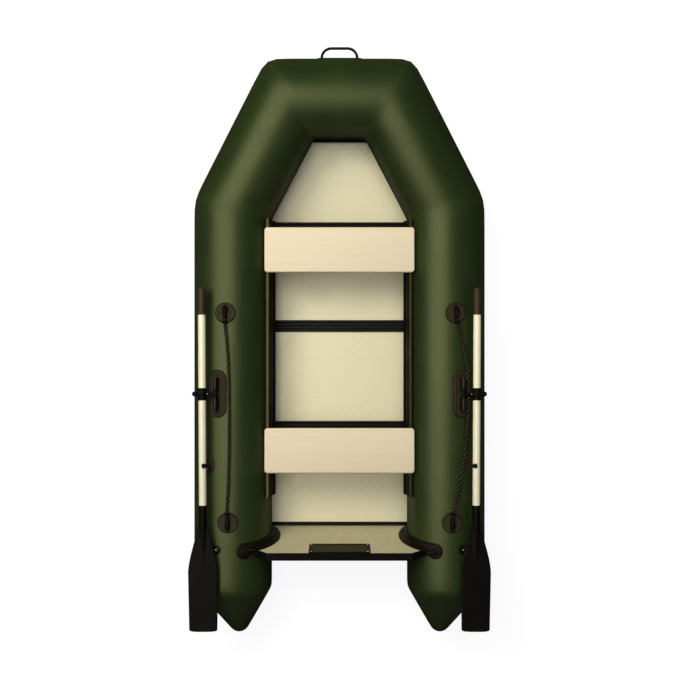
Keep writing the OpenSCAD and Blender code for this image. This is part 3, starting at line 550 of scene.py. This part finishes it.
# Pad rubber: matt olive, worn pale on its ribs; bright zinc on the screws
pad_rubber = moulded("olive_pad_rubber", "#2e2a1a", "#3c3724", 0.6, 1.2, 0.3, gleam=0.15)
zinc_steel = moulded("zinc_plated_steel", "#d8d4c4", "#c4c0b0", 0.3, 2, 0.05, gleam=0.6)
for name, face in (("inner", on_transom), ("outer", on_transom @ Matrix.Translation((0, -TRANSOM_T, 0))
                                           @ Matrix.Diagonal((1, -1, 1, 1)))):
    bm = bmesh.new()
    block(bm, (-PAD_HALF, PAD_GAP, PAD_LOW), (PAD_HALF, PAD_BACK_T, PAD_HIGH), face)
    for low, high in (((-PAD_HALF, PAD_LOW), (PAD_HALF, PAD_LOW + FRAME_W)),
                      ((-PAD_HALF, PAD_HIGH - FRAME_W), (PAD_HALF, PAD_HIGH)),
                      ((-PAD_HALF, PAD_LOW), (-PAD_HALF + FRAME_W, PAD_HIGH)),
                      ((PAD_HALF - FRAME_W, PAD_LOW), (PAD_HALF, PAD_HIGH))):
        block(bm, (low[0], FRAME_FOOT, low[1]), (high[0], PAD_T, high[1]), face)
    add_piece(f"motor_pad_{name}_frame", bm, black_rubber, [f"motor_pad_{name}"])
    bm = bmesh.new()
    wide, high = 2 * (PAD_HALF - FRAME_W) * MM, (PAD_HIGH - PAD_LOW - 2 * FRAME_W) * MM
    middle = face @ Matrix.Translation((0, PAD_BACK_T * MM, (PAD_LOW + PAD_HIGH) / 2 * MM))
    fit = middle @ Matrix.Rotation(math.pi / 2, 4, "X") @ Matrix.Diagonal((wide, high, 1, 1))
    bmesh.ops.create_grid(bm, x_segments=DIAMOND_COLUMNS, y_segments=DIAMOND_ROWS, size=0.5, matrix=fit)
    bmesh.ops.poke(bm, faces=bm.faces[:], offset=-DIAMOND_RISE)
    base = bmesh.ops.extrude_face_region(bm, geom=bm.faces[:])["geom"]
    foot = [v for v in base if isinstance(v, bmesh.types.BMVert)]
    bmesh.ops.translate(bm, verts=foot, vec=face.to_3x3() @ Vector((0, -DIAMOND_FOOT, 0)))
    add_piece(f"motor_pad_{name}_ribs", bm, pad_rubber, sharp_deg=20)
    bm = bmesh.new()
    for x in (PAD_HALF - SCREW_IN, SCREW_IN - PAD_HALF):
        for z in (PAD_LOW + SCREW_UP, PAD_HIGH - SCREW_DOWN):
            spot = face @ Matrix.Translation((x * MM, PAD_T * MM, z * MM)) @ Z_AHEAD
            lathe(bm, SCREW_PROFILE, spot, steps=12)
    add_piece(f"motor_pad_{name}_screws", bm, zinc_steel)

# Seats: two painted bench boards with rounded edges and corners.
# Each stands on plastic sliders that run on the rails along the tubes' inner sides.
SEAT_LEN, SEAT_W, SEAT_CORNER = 722, 217, 16
SEAT_YS = {"front": 438 * MM, "rear": -527 * MM}
SEAT_EDGE = [(5, 299.1), (2, 299.8), (0.6, 301.2), (0, 303.5), (0, 312), (0.7, 315), (2.2, 317.2),
             (4.6, 318.6), (8, 319.08)]
CORNER_STEPS, TIGHTEST_R = 8, 0.4


def rounded_loop(width, length, corner, inset, z):
    """Points round a rectangle in millimetres with rounded corners, set in from its edge."""
    round_r = max(corner - inset, TIGHTEST_R)
    points = []
    for k, (sign_x, sign_y) in enumerate(((1, 1), (-1, 1), (-1, -1), (1, -1))):
        centre = Vector((sign_x * (width / 2 - inset - round_r), sign_y * (length / 2 - inset - round_r), z))
        for step in range(CORNER_STEPS + 1):
            angle = math.radians(90 * k + 90 * step / CORNER_STEPS)
            points.append((centre + Vector((round_r * math.cos(angle), round_r * math.sin(angle), 0))) * MM)
    return points


# Painted bench board: cream paint, faintly streaked along the board
seat_paint = streaked("painted_bench_board", "#d9caaf", "#e4d5bd", streak_mm=(500, 14, 14), detail=6.0,
                      smoothest=0.35, roughest=0.55, relief=0.3)
for name, seat_y in SEAT_YS.items():
    bm = bmesh.new()
    loft(bm, [outline(bm, rounded_loop(SEAT_LEN, SEAT_W, SEAT_CORNER, inset, z)) for inset, z in SEAT_EDGE])
    bmesh.ops.translate(bm, verts=bm.verts, vec=(0, seat_y, 0))
    add_piece(f"seat_{name}_board", bm, seat_paint, [f"seat_{name}"], f"seat_{name}")
    dress(black_plastic, f"seat_sliders_{name}")

# Seat rails: long rubber profiles glued along the tubes, each with a shelf that the seats run on.
# The shelf's top leans to the tube, and a rounded lip runs along its lower edge.
RAIL_STATIONS = (-755 * MM, -300 * MM, 200 * MM, 590 * MM)
RAIL_SECTION = [(163, 88), (164.5, 95), (167, 96.6), (182, 99.9), (184.5, 99.4), (185.4, 97), (185.2, 90),
                (183, 87), (184.5, 73), (188, 56), (193, 36), (199, 12), (202, 2), (205, 0), (206.3, -4),
                (206.4, -30), (205, -36), (201, -39), (186, -37), (188.5, 0), (183, 40)]
SHELF_SECTION = [(167.5, 96.4), (182, 99.6), (182.6, 100.4), (181.6, 100.9), (168, 97.9), (167, 97.2)]
# Rail rubber: matt and nearly black; a smoother wear strip on the shelf catches the light
rail_rubber = moulded("matt_rail_rubber", "#030201", "#070503", 0.6, 3, 0.1, patch_mm=200, gleam=0.05)
shelf_strip = moulded("smooth_wear_strip", "#080603", "#0e0b05", 0.3, 3, 0.05, patch_mm=200, gleam=0.6)
shelf_strip.node_tree.nodes["Principled BSDF"].inputs["Specular Tint"].default_value = linear("#fff0bc")
for name, side in SIDES.items():
    for section, part, material, replaced in ((RAIL_SECTION, "_profile", rail_rubber, [f"seat_rail_{name}"]),
                                              (SHELF_SECTION, "_wear_strip", shelf_strip, [])):
        bm = bmesh.new()
        loft(bm, [outline(bm, [(side * (SIDE_X - u * MM), y, TUBE_R + z * MM) for u, z in section])
                  for y in RAIL_STATIONS])
        add_piece(f"seat_rail_{name}{part}", bm, material, replaced, sharp_deg=40)

# Rope pads: round rubber discs glued on the side tubes, with a raised rim and a moulded eye.
# A side rope ends in a loop round each eye, with a few turns laid round itself.
PAD_RIM = [(0, 0.4), (0, 2.2), (0.8, 3.6), (2.4, 4.8), (4.2, 4.8), (6, 3.6), (8, 3.1), (20, 3.1), (32, 3.2),
           (46, 3.2)]
ROPE_PAD = (93, 93, 93 / 2)
EDGE_R, EDGE_OUT, EDGE_UP = 2.6 * MM, 0.6, 1.6
ARCH_FOOT, LEG_STEPS, BEND_STEPS = 1 * MM, 3, 6
ROPE_PADS = {"front_left": (-1, 133 * MM, 5.4), "front_right": (1, 133 * MM, 8.2),
             "rear_left": (-1, -861 * MM, 2), "rear_right": (1, -861 * MM, 3.4)}
EYE_LEG, EYE_TOP, EYE_BEND = 24.8 * MM, 20 * MM, 12 * MM
EYE_WIDE, EYE_THICK = 6 * MM, 4.6 * MM
LOOP_HALF, LOOP_END, LOOP_TOP, LOOP_UP, LOOP_TAPER, LOOP_POINTS = 12, 22, 46, 9.4, 0.38, 32
COIL_R, COIL_POINTS, COIL_STATIONS = 8.2, 16, (2, 3, 4)
LOOP_YARN_R, COIL_YARN_R = 4.8 * MM, 3.6 * MM


def pad(bm, width, length, corner, profile):
    """A flat pad of a rounded outline, with its profile of insets and heights in millimetres."""
    loft(bm, [outline(bm, rounded_loop(width, length, corner, inset, z)) for inset, z in profile])


def shade_bead(bm, width, length, corner):
    """A round bead along the edge of a pad, in millimetres; made black, it is painted shade in the crease
    there.
    """
    line = rounded_loop(width, length, corner, -EDGE_OUT, EDGE_UP)
    bar(bm, line, (EDGE_R, EDGE_R), UP, sides=8, closed=True)


def arch(leg, top, bend):
    """Points along an arch in the YZ plane with two legs and round corners."""
    straight = top - bend - ARCH_FOOT
    half = [Vector((0, leg, ARCH_FOOT + straight * k / LEG_STEPS)) for k in range(LEG_STEPS)]
    for step in range(BEND_STEPS + 1):
        angle = math.radians(90 * step / BEND_STEPS)
        half.append(Vector((0, leg - bend + bend * math.cos(angle), top - bend + bend * math.sin(angle))))
    return half + [Vector((0, -p.y, p.z)) for p in reversed(half)]


# Brown rubber: matt and a little olive; the black beads in the creases round the pads' edges are painted
# shade
brown_rubber = moulded("brown_rubber", "#292418", "#352f20", 0.6, 1.2, 0.3, gleam=0.12)
for name, (side, y, angle) in ROPE_PADS.items():
    bm = bmesh.new()
    pad(bm, *ROPE_PAD, PAD_RIM)
    wrap(bm, on_tube(side, y, angle))
    add_piece(f"rope_pad_{name}_disc", bm, brown_rubber, [f"rope_pad_{name}"], sharp_deg=60)
    bm = bmesh.new()
    bar(bm, arch(EYE_LEG, EYE_TOP, EYE_BEND), (EYE_WIDE, EYE_THICK), Vector((1, 0, 0)), sides=16)
    bmesh.ops.transform(bm, matrix=on_tube(side, y, angle), verts=bm.verts)
    add_piece(f"rope_pad_{name}_eye", bm, black_rubber)
    bm = bmesh.new()
    # A black bead in the crease round the pad's edge: painted shade
    shade_bead(bm, *ROPE_PAD)
    wrap(bm, on_tube(side, y, angle))
    add_piece(f"rope_pad_{name}_edge", bm, black_rubber)
for side, (path, rope) in ropes.items():
    bm = bmesh.new()
    for first, line in (("front", path), ("rear", path[::-1])):
        sign, y, angle = ROPE_PADS[first + "_" + side]
        turned = Matrix.Rotation(math.pi if first == "front" else 0, 4, "Z")
        loop = []
        for a in [2 * math.pi * k / LOOP_POINTS for k in range(LOOP_POINTS)]:
            u = LOOP_HALF * math.cos(a) * (1 - LOOP_TAPER - LOOP_TAPER * math.sin(a))
            v = (LOOP_TOP if a < math.pi else LOOP_END + LOOP_HALF) * math.sin(a)
            loop.append(on_tube(sign, y, angle) @ turned @ (Vector((u, v, LOOP_UP)) * MM))
        bar(bm, loop, (LOOP_YARN_R, LOOP_YARN_R), UP, sides=10, closed=True)
        for start in COIL_STATIONS:
            along = line[start + 1] - line[start - 1]
            turn = along_frame(line[start], along, UP)
            coil = [turn @ (Vector((math.cos(a), math.sin(a), 0)) * COIL_R * MM)
                    for a in [2 * math.pi * k / COIL_POINTS for k in range(COIL_POINTS)]]
            bar(bm, coil, (COIL_YARN_R, COIL_YARN_R), along.normalized(), sides=8, closed=True)
    knots = add_piece(f"side_rope_{side}_knots", bm, rope_yarn)
    length = sum((b - a).length for a, b in zip(path, path[1:]))

# Oarlocks: rubber bases glued on the tubes, each with two plastic lugs that hold a hinged pin.
# The pin's stem goes outboard through the oar's collar and ends in a round knob.
OAR_Y, LOCK_DEG, HINGE_H, OAR_REACH, OAR_TOE = -250 * MM, 17.5, 21.6, 62 * MM, math.radians(0.3)
LOCK_PAD, LOCK_INNER_LINE = (88, 222, 43), (62, 190, 30)
LOCK_RIM = [(0, 0.4), (0, 2), (1, 4), (2.6, 4.8), (4.4, 4.8), (6, 3.8), (7.5, 2.6), (9.5, 2.6), (11, 3.6),
            (12.6, 4.4), (14.4, 4.4), (16, 3.6), (17.5, 2.8), (24, 2.8), (34, 2.9), (43, 2.9)]
LUG_FROM, LUG_LEN, LUG_HALF, LUG_INSET, LUG_FOOT = 19, 60, 11.6, 1, 1
LUG_PROFILE = [(0, 4), (4.4, 4), (4.6, 0.4), (9, 0), (11.4, 1.4), (12, 3.4), (12, 56.6), (11.4, 58.6),
               (9, 60), (0, 60)]
HUB_PROFILE = [(0, -18), (9.4, -18), (11.6, -16), (11.6, -7), (10.4, -5.6), (10.4, 5.6), (11.6, 7),
               (11.6, 16), (9.4, 18), (0, 18)]
AXLE_PROFILE = [(0, -78), (3.4, -78), (4, -77), (4, 77), (3.4, 78), (0, 78)]
STEM_PROFILE = [(0, 6), (7, 6), (7, 24), (9.5, 26), (10, 29), (9.5, 32), (7, 34), (7, 84), (9, 86),
                (11.4, 89), (12.2, 95), (11.6, 101), (9.4, 106), (5.6, 109), (0, 110)]
COLLAR_HALF = [(20.6, 5), (20.6, 18.5), (22.6, 21), (23, 25), (22.6, 27.4), (21, 28.5), (17.6, 28.5)]
COLLAR_PROFILE = [(r, -z) for r, z in reversed(COLLAR_HALF)] + [(21.6, -3), (21.6, 3)] + COLLAR_HALF
COLLAR_PROFILE.append(COLLAR_PROFILE[0])
COLLAR_RIB, COLLAR_RIB_R, COLLAR_RIB_TURNS = ((-2.4, -19, -1), (2.4, 19, 3.4)), 20 * MM, (45, 135, 225, 315)
STAR_RIB, STAR_UP, STAR_TURNS = ((-2.2, -18, -3), (2.2, 18, 2.2)), 20.6 * MM, (40, -40)
PIN_SCREW_OUT, PIN_SCREW_UP = 37 * MM, 6 * MM
PIN_SCREW_PROFILE = [(0, 3.4), (1.4, 3.2), (2.3, 2.2), (2.5, 0.6), (0, 0.6)]
oar_parts = {}
for name, side in SIDES.items():
    bm = bmesh.new()
    pad(bm, *LOCK_PAD, LOCK_RIM)
    seat = on_tube(side, OAR_Y, LOCK_DEG)
    wrap(bm, seat)
    add_piece(f"oarlock_base_{name}_moulding", bm, brown_rubber,
              [f"oarlock_base_{name}"], sharp_deg=40)
    bm = bmesh.new()
    # Black beads in the crease round the base's edge and in the groove inside its outer rim: painted shade
    shade_bead(bm, *LOCK_PAD)
    shade_bead(bm, *LOCK_INNER_LINE)
    wrap(bm, seat)
    for flip in (1, -1):
        lug = seat @ Matrix.Diagonal((1, flip, 1, 1))
        barrel = lug @ Matrix.Translation((0, LUG_FROM * MM, HINGE_H * MM)) @ Z_AHEAD
        lathe(bm, LUG_PROFILE, barrel)
        block(bm, (-LUG_HALF, LUG_FROM + LUG_INSET, LUG_FOOT),
              (LUG_HALF, LUG_FROM + LUG_LEN - LUG_INSET, HINGE_H), lug, edge=2.5)
    add_piece(f"oarlock_base_{name}_lugs", bm, rib_plastic, sharp_deg=40)
    hinge = seat @ Vector((0, 0, HINGE_H * MM))
    along_y = Matrix.Translation(hinge) @ Z_AHEAD
    outboard = Matrix.Translation(hinge) @ Matrix.Rotation(side * math.pi / 2, 4, "Y")
    body = f"oar_{name}"
    bm = bmesh.new()
    lathe(bm, HUB_PROFILE, along_y)
    lathe(bm, AXLE_PROFILE, along_y, steps=12)
    lathe(bm, STEM_PROFILE, outboard)
    add_piece(f"oarlock_pin_{name}_turned", bm, black_plastic, [f"oarlock_pin_{name}"], body)
    centre = hinge + Vector((side * OAR_REACH, 0, 0))
    oar_place = Matrix.Translation(centre) @ Matrix.Rotation(-side * OAR_TOE, 4, "Z")
    oar_axis = oar_place @ Z_AHEAD
    oar_parts[name] = (oar_place, oar_axis)
    bm = bmesh.new()
    lathe(bm, COLLAR_PROFILE, oar_axis, steps=32)
    for turn in COLLAR_RIB_TURNS:
        rib = Matrix.Rotation(math.radians(turn), 4, "Y") @ Matrix.Translation((0, 0, COLLAR_RIB_R))
        block(bm, *COLLAR_RIB, Matrix.Translation(centre) @ rib, edge=1)
    for turn in STAR_TURNS:
        star = Matrix.Translation((0, 0, STAR_UP)) @ Matrix.Rotation(math.radians(turn), 4, "Z")
        block(bm, *STAR_RIB, Matrix.Translation(centre) @ star, edge=1)
    add_piece(f"oar_collar_{name}_moulding", bm, black_plastic, [f"oar_collar_{name}"], body)
    bm = bmesh.new()
    screw = Matrix.Translation(hinge + Vector((side * PIN_SCREW_OUT, 0, PIN_SCREW_UP)))
    lathe(bm, PIN_SCREW_PROFILE, screw, steps=12)
    add_piece(f"oarlock_pin_{name}_screw", bm, zinc_steel, body=body)

# Oars: coated aluminium tubes with a moulded blade at one end and a rubber grip at the other.
# The tube's end is rounded, the grip has a raised ring at its foot, and a rib fades out along the blade.
SHAFT_END = -540
SHAFT_PROFILE = [(0, SHAFT_END), (17.6, SHAFT_END), (17.6, -526), (17.8, -525), (17.8, 371), (17.4, 374),
                 (16, 375), (0, 375)]
GRIP_PROFILE = [(0, 375), (18.6, 375), (20.4, 376), (20.8, 379), (20.4, 383), (19, 386), (18.6, 392),
                (19.2, 400), (19.5, 416), (19.5, 440), (19.5, 468), (19.2, 486), (18.2, 494.5), (15.6, 500),
                (10, 502.6), (0, 503)]
BLADE_LEN, BLADE_HALF, TIP_HALF, TIP_LEN, NECK_HALF = 583, 71, 66.7, 14, 19
SWELL_FROM, SWELL_TO, RIB_END = 46, 300, 330
SWELL_STRAIGHT = 0.35
BLADE_EDGE_T, EDGE_SHARE, EDGE_RISE = 3, 0.35, 8
BLADE_POINTS = 24
SOCKET_R, SOCKET_LEN, SOCKET_ROUND = 19.6, 15, 0.5
BLADE_STATIONS = [24, 46, 60, 75, 90, 105, 120, 140, 160, 180, 200, 220, 240, 260, 280, 300, 340, 400, 470,
                  540, 569, 574, 577.5, 580, 581.6, 582.5, 582.9]
# Coated oar tube: smooth cream coating, a little uneven in gloss; the blade's black plastic has a satin grain
# and the grip's brown rubber a dull gleam
shaft_coating = moulded("cream_coated_tube", "#f6f1d8", "#efe9cc", 0.38, 4, 0.1, patch_mm=120)
blade_plastic = moulded("black_blade_plastic", "#050403", "#0a0906", 0.5, 3, 0.3, patch_mm=90, gleam=0.1)
grip_rubber = moulded("brown_grip_rubber", "#2c2416", "#372e1d", 0.5, 1.5, 0.2, gleam=0.25)


def blade_section(v):
    """Points round the blade at a distance from the shaft's end: a round neck, then a plate with a rib."""
    share = min(max((v - SWELL_FROM) / (SWELL_TO - SWELL_FROM), 0), 1)
    eased = SWELL_STRAIGHT * share + (1 - SWELL_STRAIGHT) * (1 - math.cos(math.pi * share)) / 2
    half = NECK_HALF + (BLADE_HALF - NECK_HALF) * eased
    if v > SWELL_TO:
        half = BLADE_HALF + (TIP_HALF - BLADE_HALF) * (v - SWELL_TO) / (BLADE_LEN - TIP_LEN - SWELL_TO)
    if v > BLADE_LEN - TIP_LEN:
        half = TIP_HALF * (1 - ((v - BLADE_LEN + TIP_LEN) / TIP_LEN) ** 4) ** 0.25
    rib = max(SOCKET_R * (1 - v / RIB_END), 0)
    top, bottom = [], []
    for k in range(BLADE_POINTS + 1):
        x = half * math.cos(math.pi * k / BLADE_POINTS)
        plate = BLADE_EDGE_T * min(1, EDGE_SHARE + (1 - abs(x) / half) * EDGE_RISE)
        high = max(plate, math.sqrt(max(rib * rib - x * x, 0)))
        top.append((x * MM, v * MM, high * MM))
        bottom.append((x * MM, v * MM, -high * MM))
    return top + bottom[-2:0:-1]


def socket_section(v):
    """Points round the blade's socket, as many as round the blade, at a distance ahead of the shaft's end."""
    r = SOCKET_R - (SOCKET_ROUND if v <= -SOCKET_LEN else 0)
    angles = [math.pi * k / BLADE_POINTS for k in range(2 * BLADE_POINTS)]
    return [(r * MM * math.cos(a), v * MM, r * MM * math.sin(a)) for a in angles]


for name, side in SIDES.items():
    body = f"oar_{name}"
    bm = bmesh.new()
    lathe(bm, SHAFT_PROFILE, oar_parts[name][1], steps=32)
    add_piece(f"oar_shaft_{name}_tube", bm, shaft_coating, [f"oar_shaft_{name}"], body)
    bm = bmesh.new()
    lathe(bm, GRIP_PROFILE, oar_parts[name][1], steps=32)
    add_piece(f"oar_grip_{name}_sleeve", bm, grip_rubber, [f"oar_grip_{name}"], body)
    bm = bmesh.new()
    sections = [socket_section(v) for v in (-SOCKET_LEN, 1 - SOCKET_LEN, 0)]
    sections += [blade_section(v) for v in BLADE_STATIONS]
    loft(bm, [outline(bm, points) for points in sections])
    turned = Matrix.Translation((0, SHAFT_END * MM, 0)) @ Matrix.Rotation(math.pi, 4, "Z")
    bmesh.ops.transform(bm, matrix=oar_parts[name][0] @ turned, verts=bm.verts)
    add_piece(f"oar_blade_{name}_moulding", bm, blade_plastic, [f"oar_blade_{name}"], body,
              sharp_deg=50)

# Oar clips: rubber cradles on small pads that the shafts are pressed into.
# A short plastic keeper on each shaft hooks over its inner side when the oar lies in the clip.
CLIP_Y, CLIP_DEG, CLIP_HALF = -595 * MM, 29, 15
CLIP_IN_R, CLIP_OUT_R, CLIP_ROUND = 19, 26.5, 1.5
CLIP_FROM_DEG, CLIP_TO_DEG, CLIP_STEP_DEG = 172, 296, 6
CLIP_PAD = (44, 76, 21)
CLIP_FOOT, CLIP_FOOT_TURN = ((-15, -13, 0), (13, 13, 20)), 3
KEEPER_SHIFT = 8 * MM
KEEPER_PATH = [(-34, 9), (-31, 10), (-25, 10.6), (-20.6, 12), (-16, 15.6), (-10, 19.8), (-4, 21.8), (1, 22)]
KEEPER_SIZES = [(4, 1.6), (6.4, 3), (7, 3.4), (7, 3.6), (8.4, 3.6), (10.6, 3.6), (11, 3.4), (8, 2.2)]
CLIP_RIM = [(0, 0.4), (0, 2.4), (1, 4), (3, 4.8), (6, 4.6), (9, 3.4), (14, 3.2), (21, 3.2)]
for name, side in SIDES.items():
    bm = bmesh.new()
    pad(bm, *CLIP_PAD, CLIP_RIM)
    wrap(bm, on_tube(side, CLIP_Y, CLIP_DEG))
    axis = oar_parts[name][0] @ Vector((0, CLIP_Y - OAR_Y, 0))
    inside = range(CLIP_FROM_DEG, CLIP_TO_DEG, CLIP_STEP_DEG)
    outside = range(CLIP_TO_DEG, CLIP_FROM_DEG, -CLIP_STEP_DEG)
    rings = []
    full = CLIP_HALF - CLIP_ROUND
    for y, thin in ((-CLIP_HALF, 1), (-full, 0), (full, 0), (CLIP_HALF, 1)):
        arcs = [(CLIP_IN_R + thin, math.radians(a)) for a in inside]
        arcs += [(CLIP_OUT_R - thin, math.radians(a)) for a in outside]
        rings.append(outline(bm, [(axis.x + side * r * MM * math.cos(a), CLIP_Y + y * MM,
                                   axis.z + r * MM * math.sin(a)) for r, a in arcs]))
    loft(bm, rings)
    block(bm, *CLIP_FOOT, on_tube(side, CLIP_Y, CLIP_DEG + CLIP_FOOT_TURN), edge=3)
    add_piece(f"oar_clip_{name}_cradle", bm, brown_rubber,
              [f"oar_clip_{name}"], sharp_deg=40)
    bm = bmesh.new()
    path = [axis + Vector((side * u * MM, KEEPER_SHIFT, w * MM)) for u, w in KEEPER_PATH]
    bar(bm, path, [(wide * MM, thick * MM) for wide, thick in KEEPER_SIZES], AHEAD, sides=16)
    add_piece(f"oar_keeper_{name}", bm, black_plastic, body=f"oar_{name}", sharp_deg=40)

# Valves: dark plastic valves in the tubes' tops beside the transom, each with a ribbed cap.
# A pale stud sits in the middle of the cap, put there for a glint: its pale tone is a painted highlight.
VALVE_Y, VALVE_DEG = -990 * MM, 18.7
VALVE_PROFILE = [(0, 7.4), (4, 7.4), (5, 8), (12, 8), (14.2, 7), (15, 5), (15, 3.6), (16.6, 3.2), (20.6, 3),
                 (22.4, 2), (23, 0.6), (23, -0.6)]
VALVE_RIB, VALVE_RIB_TURN = ((13.6, -1.2, 3), (16, 1.2, 7)), 30
STUD_PROFILE = [(0, 10), (1.8, 9.6), (3, 8.4), (3.4, 7), (0, 7)]
# Valve plastic: dark and satin, a shade lighter than the black fittings
valve_plastic = moulded("dark_valve_plastic", "#0a0a06", "#12110b", 0.45, 2, 0.1, gleam=0.15)
for name, side in SIDES.items():
    bm = bmesh.new()
    lathe(bm, VALVE_PROFILE, on_tube(side, VALVE_Y, VALVE_DEG), steps=32)
    for turn in range(0, 360, VALVE_RIB_TURN):
        rib = on_tube(side, VALVE_Y, VALVE_DEG) @ Matrix.Rotation(math.radians(turn), 4, "Z")
        block(bm, *VALVE_RIB, rib, edge=0.6)
    add_piece(f"valve_{name}_cap", bm, valve_plastic, [f"valve_{name}"])
    # The pale stud is a painted highlight
    bm = bmesh.new()
    lathe(bm, STUD_PROFILE, on_tube(side, VALVE_Y, VALVE_DEG), steps=16)
    add_piece(f"valve_{name}_stud", bm, zinc_steel)

# Bow handle: a moulded rubber grip on a long pad that is glued to the front of the bow tube.
# Its bar has round corners, and its legs widen where they grow out of the pad.
HANDLE_LEG, HANDLE_TOP, HANDLE_BEND, HANDLE_R = 86 * MM, 56 * MM, 46 * MM, 6.6 * MM
HANDLE_PAD, HANDLE_FLARE = (70, 226, 30), [1.75, 1.35, 1.1]
HANDLE_RIM = [(0, 0.4), (0, 2), (1, 3.8), (3, 4.8), (6, 4.8), (9, 3.6), (14, 3.4), (24, 3.4), (34.4, 3.4)]
on_bow = Matrix(((0, -1, 0, 0), (0, 0, 1, BOW_Y + TUBE_R), (-1, 0, 0, TUBE_R + BOW_RISE), (0, 0, 0, 1)))
bm = bmesh.new()
pad(bm, *HANDLE_PAD, HANDLE_RIM)
wrap(bm, on_bow)
path = [on_bow @ p for p in arch(HANDLE_LEG, HANDLE_TOP, HANDLE_BEND)]
swell = HANDLE_FLARE + [1] * (len(path) - 2 * len(HANDLE_FLARE)) + HANDLE_FLARE[::-1]
bar(bm, path, [(HANDLE_R * s, HANDLE_R * s) for s in swell], UP, sides=20)
add_piece("bow_handle_moulding", bm, black_rubber, ["bow_handle"], sharp_deg=50)

# Floor under the boat: a plain white sheet that stays white in the picture and keeps the boat's shadow.
# It is matt backdrop paper, laid flat and far past the picture's edges.
GROUND_SIZE = 40
GROUND_DIM, GROUND_SEEN, GROUND_GLOW = (0.07, 0.07, 0.055, 1), (0.2, 0.2, 0.18, 1), (0.98, 0.98, 1, 1)
bm = bmesh.new()
bmesh.ops.create_grid(bm, x_segments=1, y_segments=1, size=GROUND_SIZE / 2)
mesh = bpy.data.meshes.new("ground")
bm.to_mesh(mesh)
bm.free()
ground = bpy.data.objects.new("ground", mesh)
scene.collection.objects.link(ground)
paper, tree, shader = new_material("white_backdrop_paper")
shader.inputs["Roughness"].default_value = 0.9
# The white is for the camera alone, so that it throws no light on the boat
seen = add_node(tree, "LightPath").outputs["Is Camera Ray"]
tone = add_node(tree, "Mix", {"Factor": seen, "A": GROUND_DIM, "B": GROUND_SEEN}, data_type="RGBA")
tree.links.new(tone.outputs["Result"], shader.inputs["Base Color"])
# Away from the lamps the sheet gives off more, so that it stays white to its edge
away = add_node(tree, "VectorMath", {0: add_node(tree, "TexCoord").outputs["Object"]}, operation="LENGTH")
glow = add_node(tree, "MapRange", {"Value": away.outputs["Value"], "From Min": 2.5, "From Max": 9.0,
                                   "To Min": 0.9, "To Max": 1.03})
lift = add_node(tree, "Math", {0: seen, 1: glow.outputs["Result"]}, operation="MULTIPLY")
shader.inputs["Emission Color"].default_value = GROUND_GLOW
tree.links.new(lift.outputs[0], shader.inputs["Emission Strength"])
mesh.materials.append(paper)

# Light: a warm lamp high on the left, a wide and a smaller one ahead of the boat and a fill over it, which
# give no gleam, and a softbox over the left side that gives the gleam alone. The room is dim.
LAMP_AIM = Vector((0, 0, 0.2))
# Each lamp's place, width, power and colour
LAMPS = {"key_lamp": ((-3.3, 3.0, 6.2), 2.6, 162, (1.0, 0.9, 0.72)),
         "sky_lamp": ((-2.9, 3.9, 5.8), 6.0, 240, (1.0, 0.98, 0.84)),
         "top_lamp": ((-0.4, 3.4, 6.0), 3.2, 84, (1.0, 0.96, 0.82)),
         "fill_lamp": ((0.4, 0.4, 7.0), 5.0, 110, (0.95, 0.98, 1.0)),
         "gleam_softbox": ((-3.0, 0.6, 6.7), 8.2, 405, (1.0, 0.94, 0.76))}
for name, (spot, size, power, colour) in LAMPS.items():
    lamp = bpy.data.objects.new(name, bpy.data.lights.new(name, "AREA"))
    lamp.data.shape = "DISK"
    lamp.data.size = size
    lamp.data.energy = power
    lamp.data.color = colour
    lamp.location = spot
    lamp.rotation_euler = (LAMP_AIM - lamp.location).to_track_quat("-Z", "Y").to_euler()
    lamp.visible_glossy = name == "gleam_softbox"
    lamp.visible_diffuse = name != "gleam_softbox"
    lamp.visible_camera = False
    scene.collection.objects.link(lamp)
room = bpy.data.worlds.new("room")
scene.world = room
room.use_nodes = True
tree = room.node_tree
air = tree.nodes["Background"]
air.inputs["Color"].default_value = (1, 1, 1, 1)
seen = add_node(tree, "LightPath").outputs["Is Camera Ray"]
shown = add_node(tree, "MapRange", {"Value": seen, "To Min": 0.1, "To Max": 1.0})
tree.links.new(shown.outputs["Result"], air.inputs["Strength"])
scene.view_settings.view_transform = "Standard"
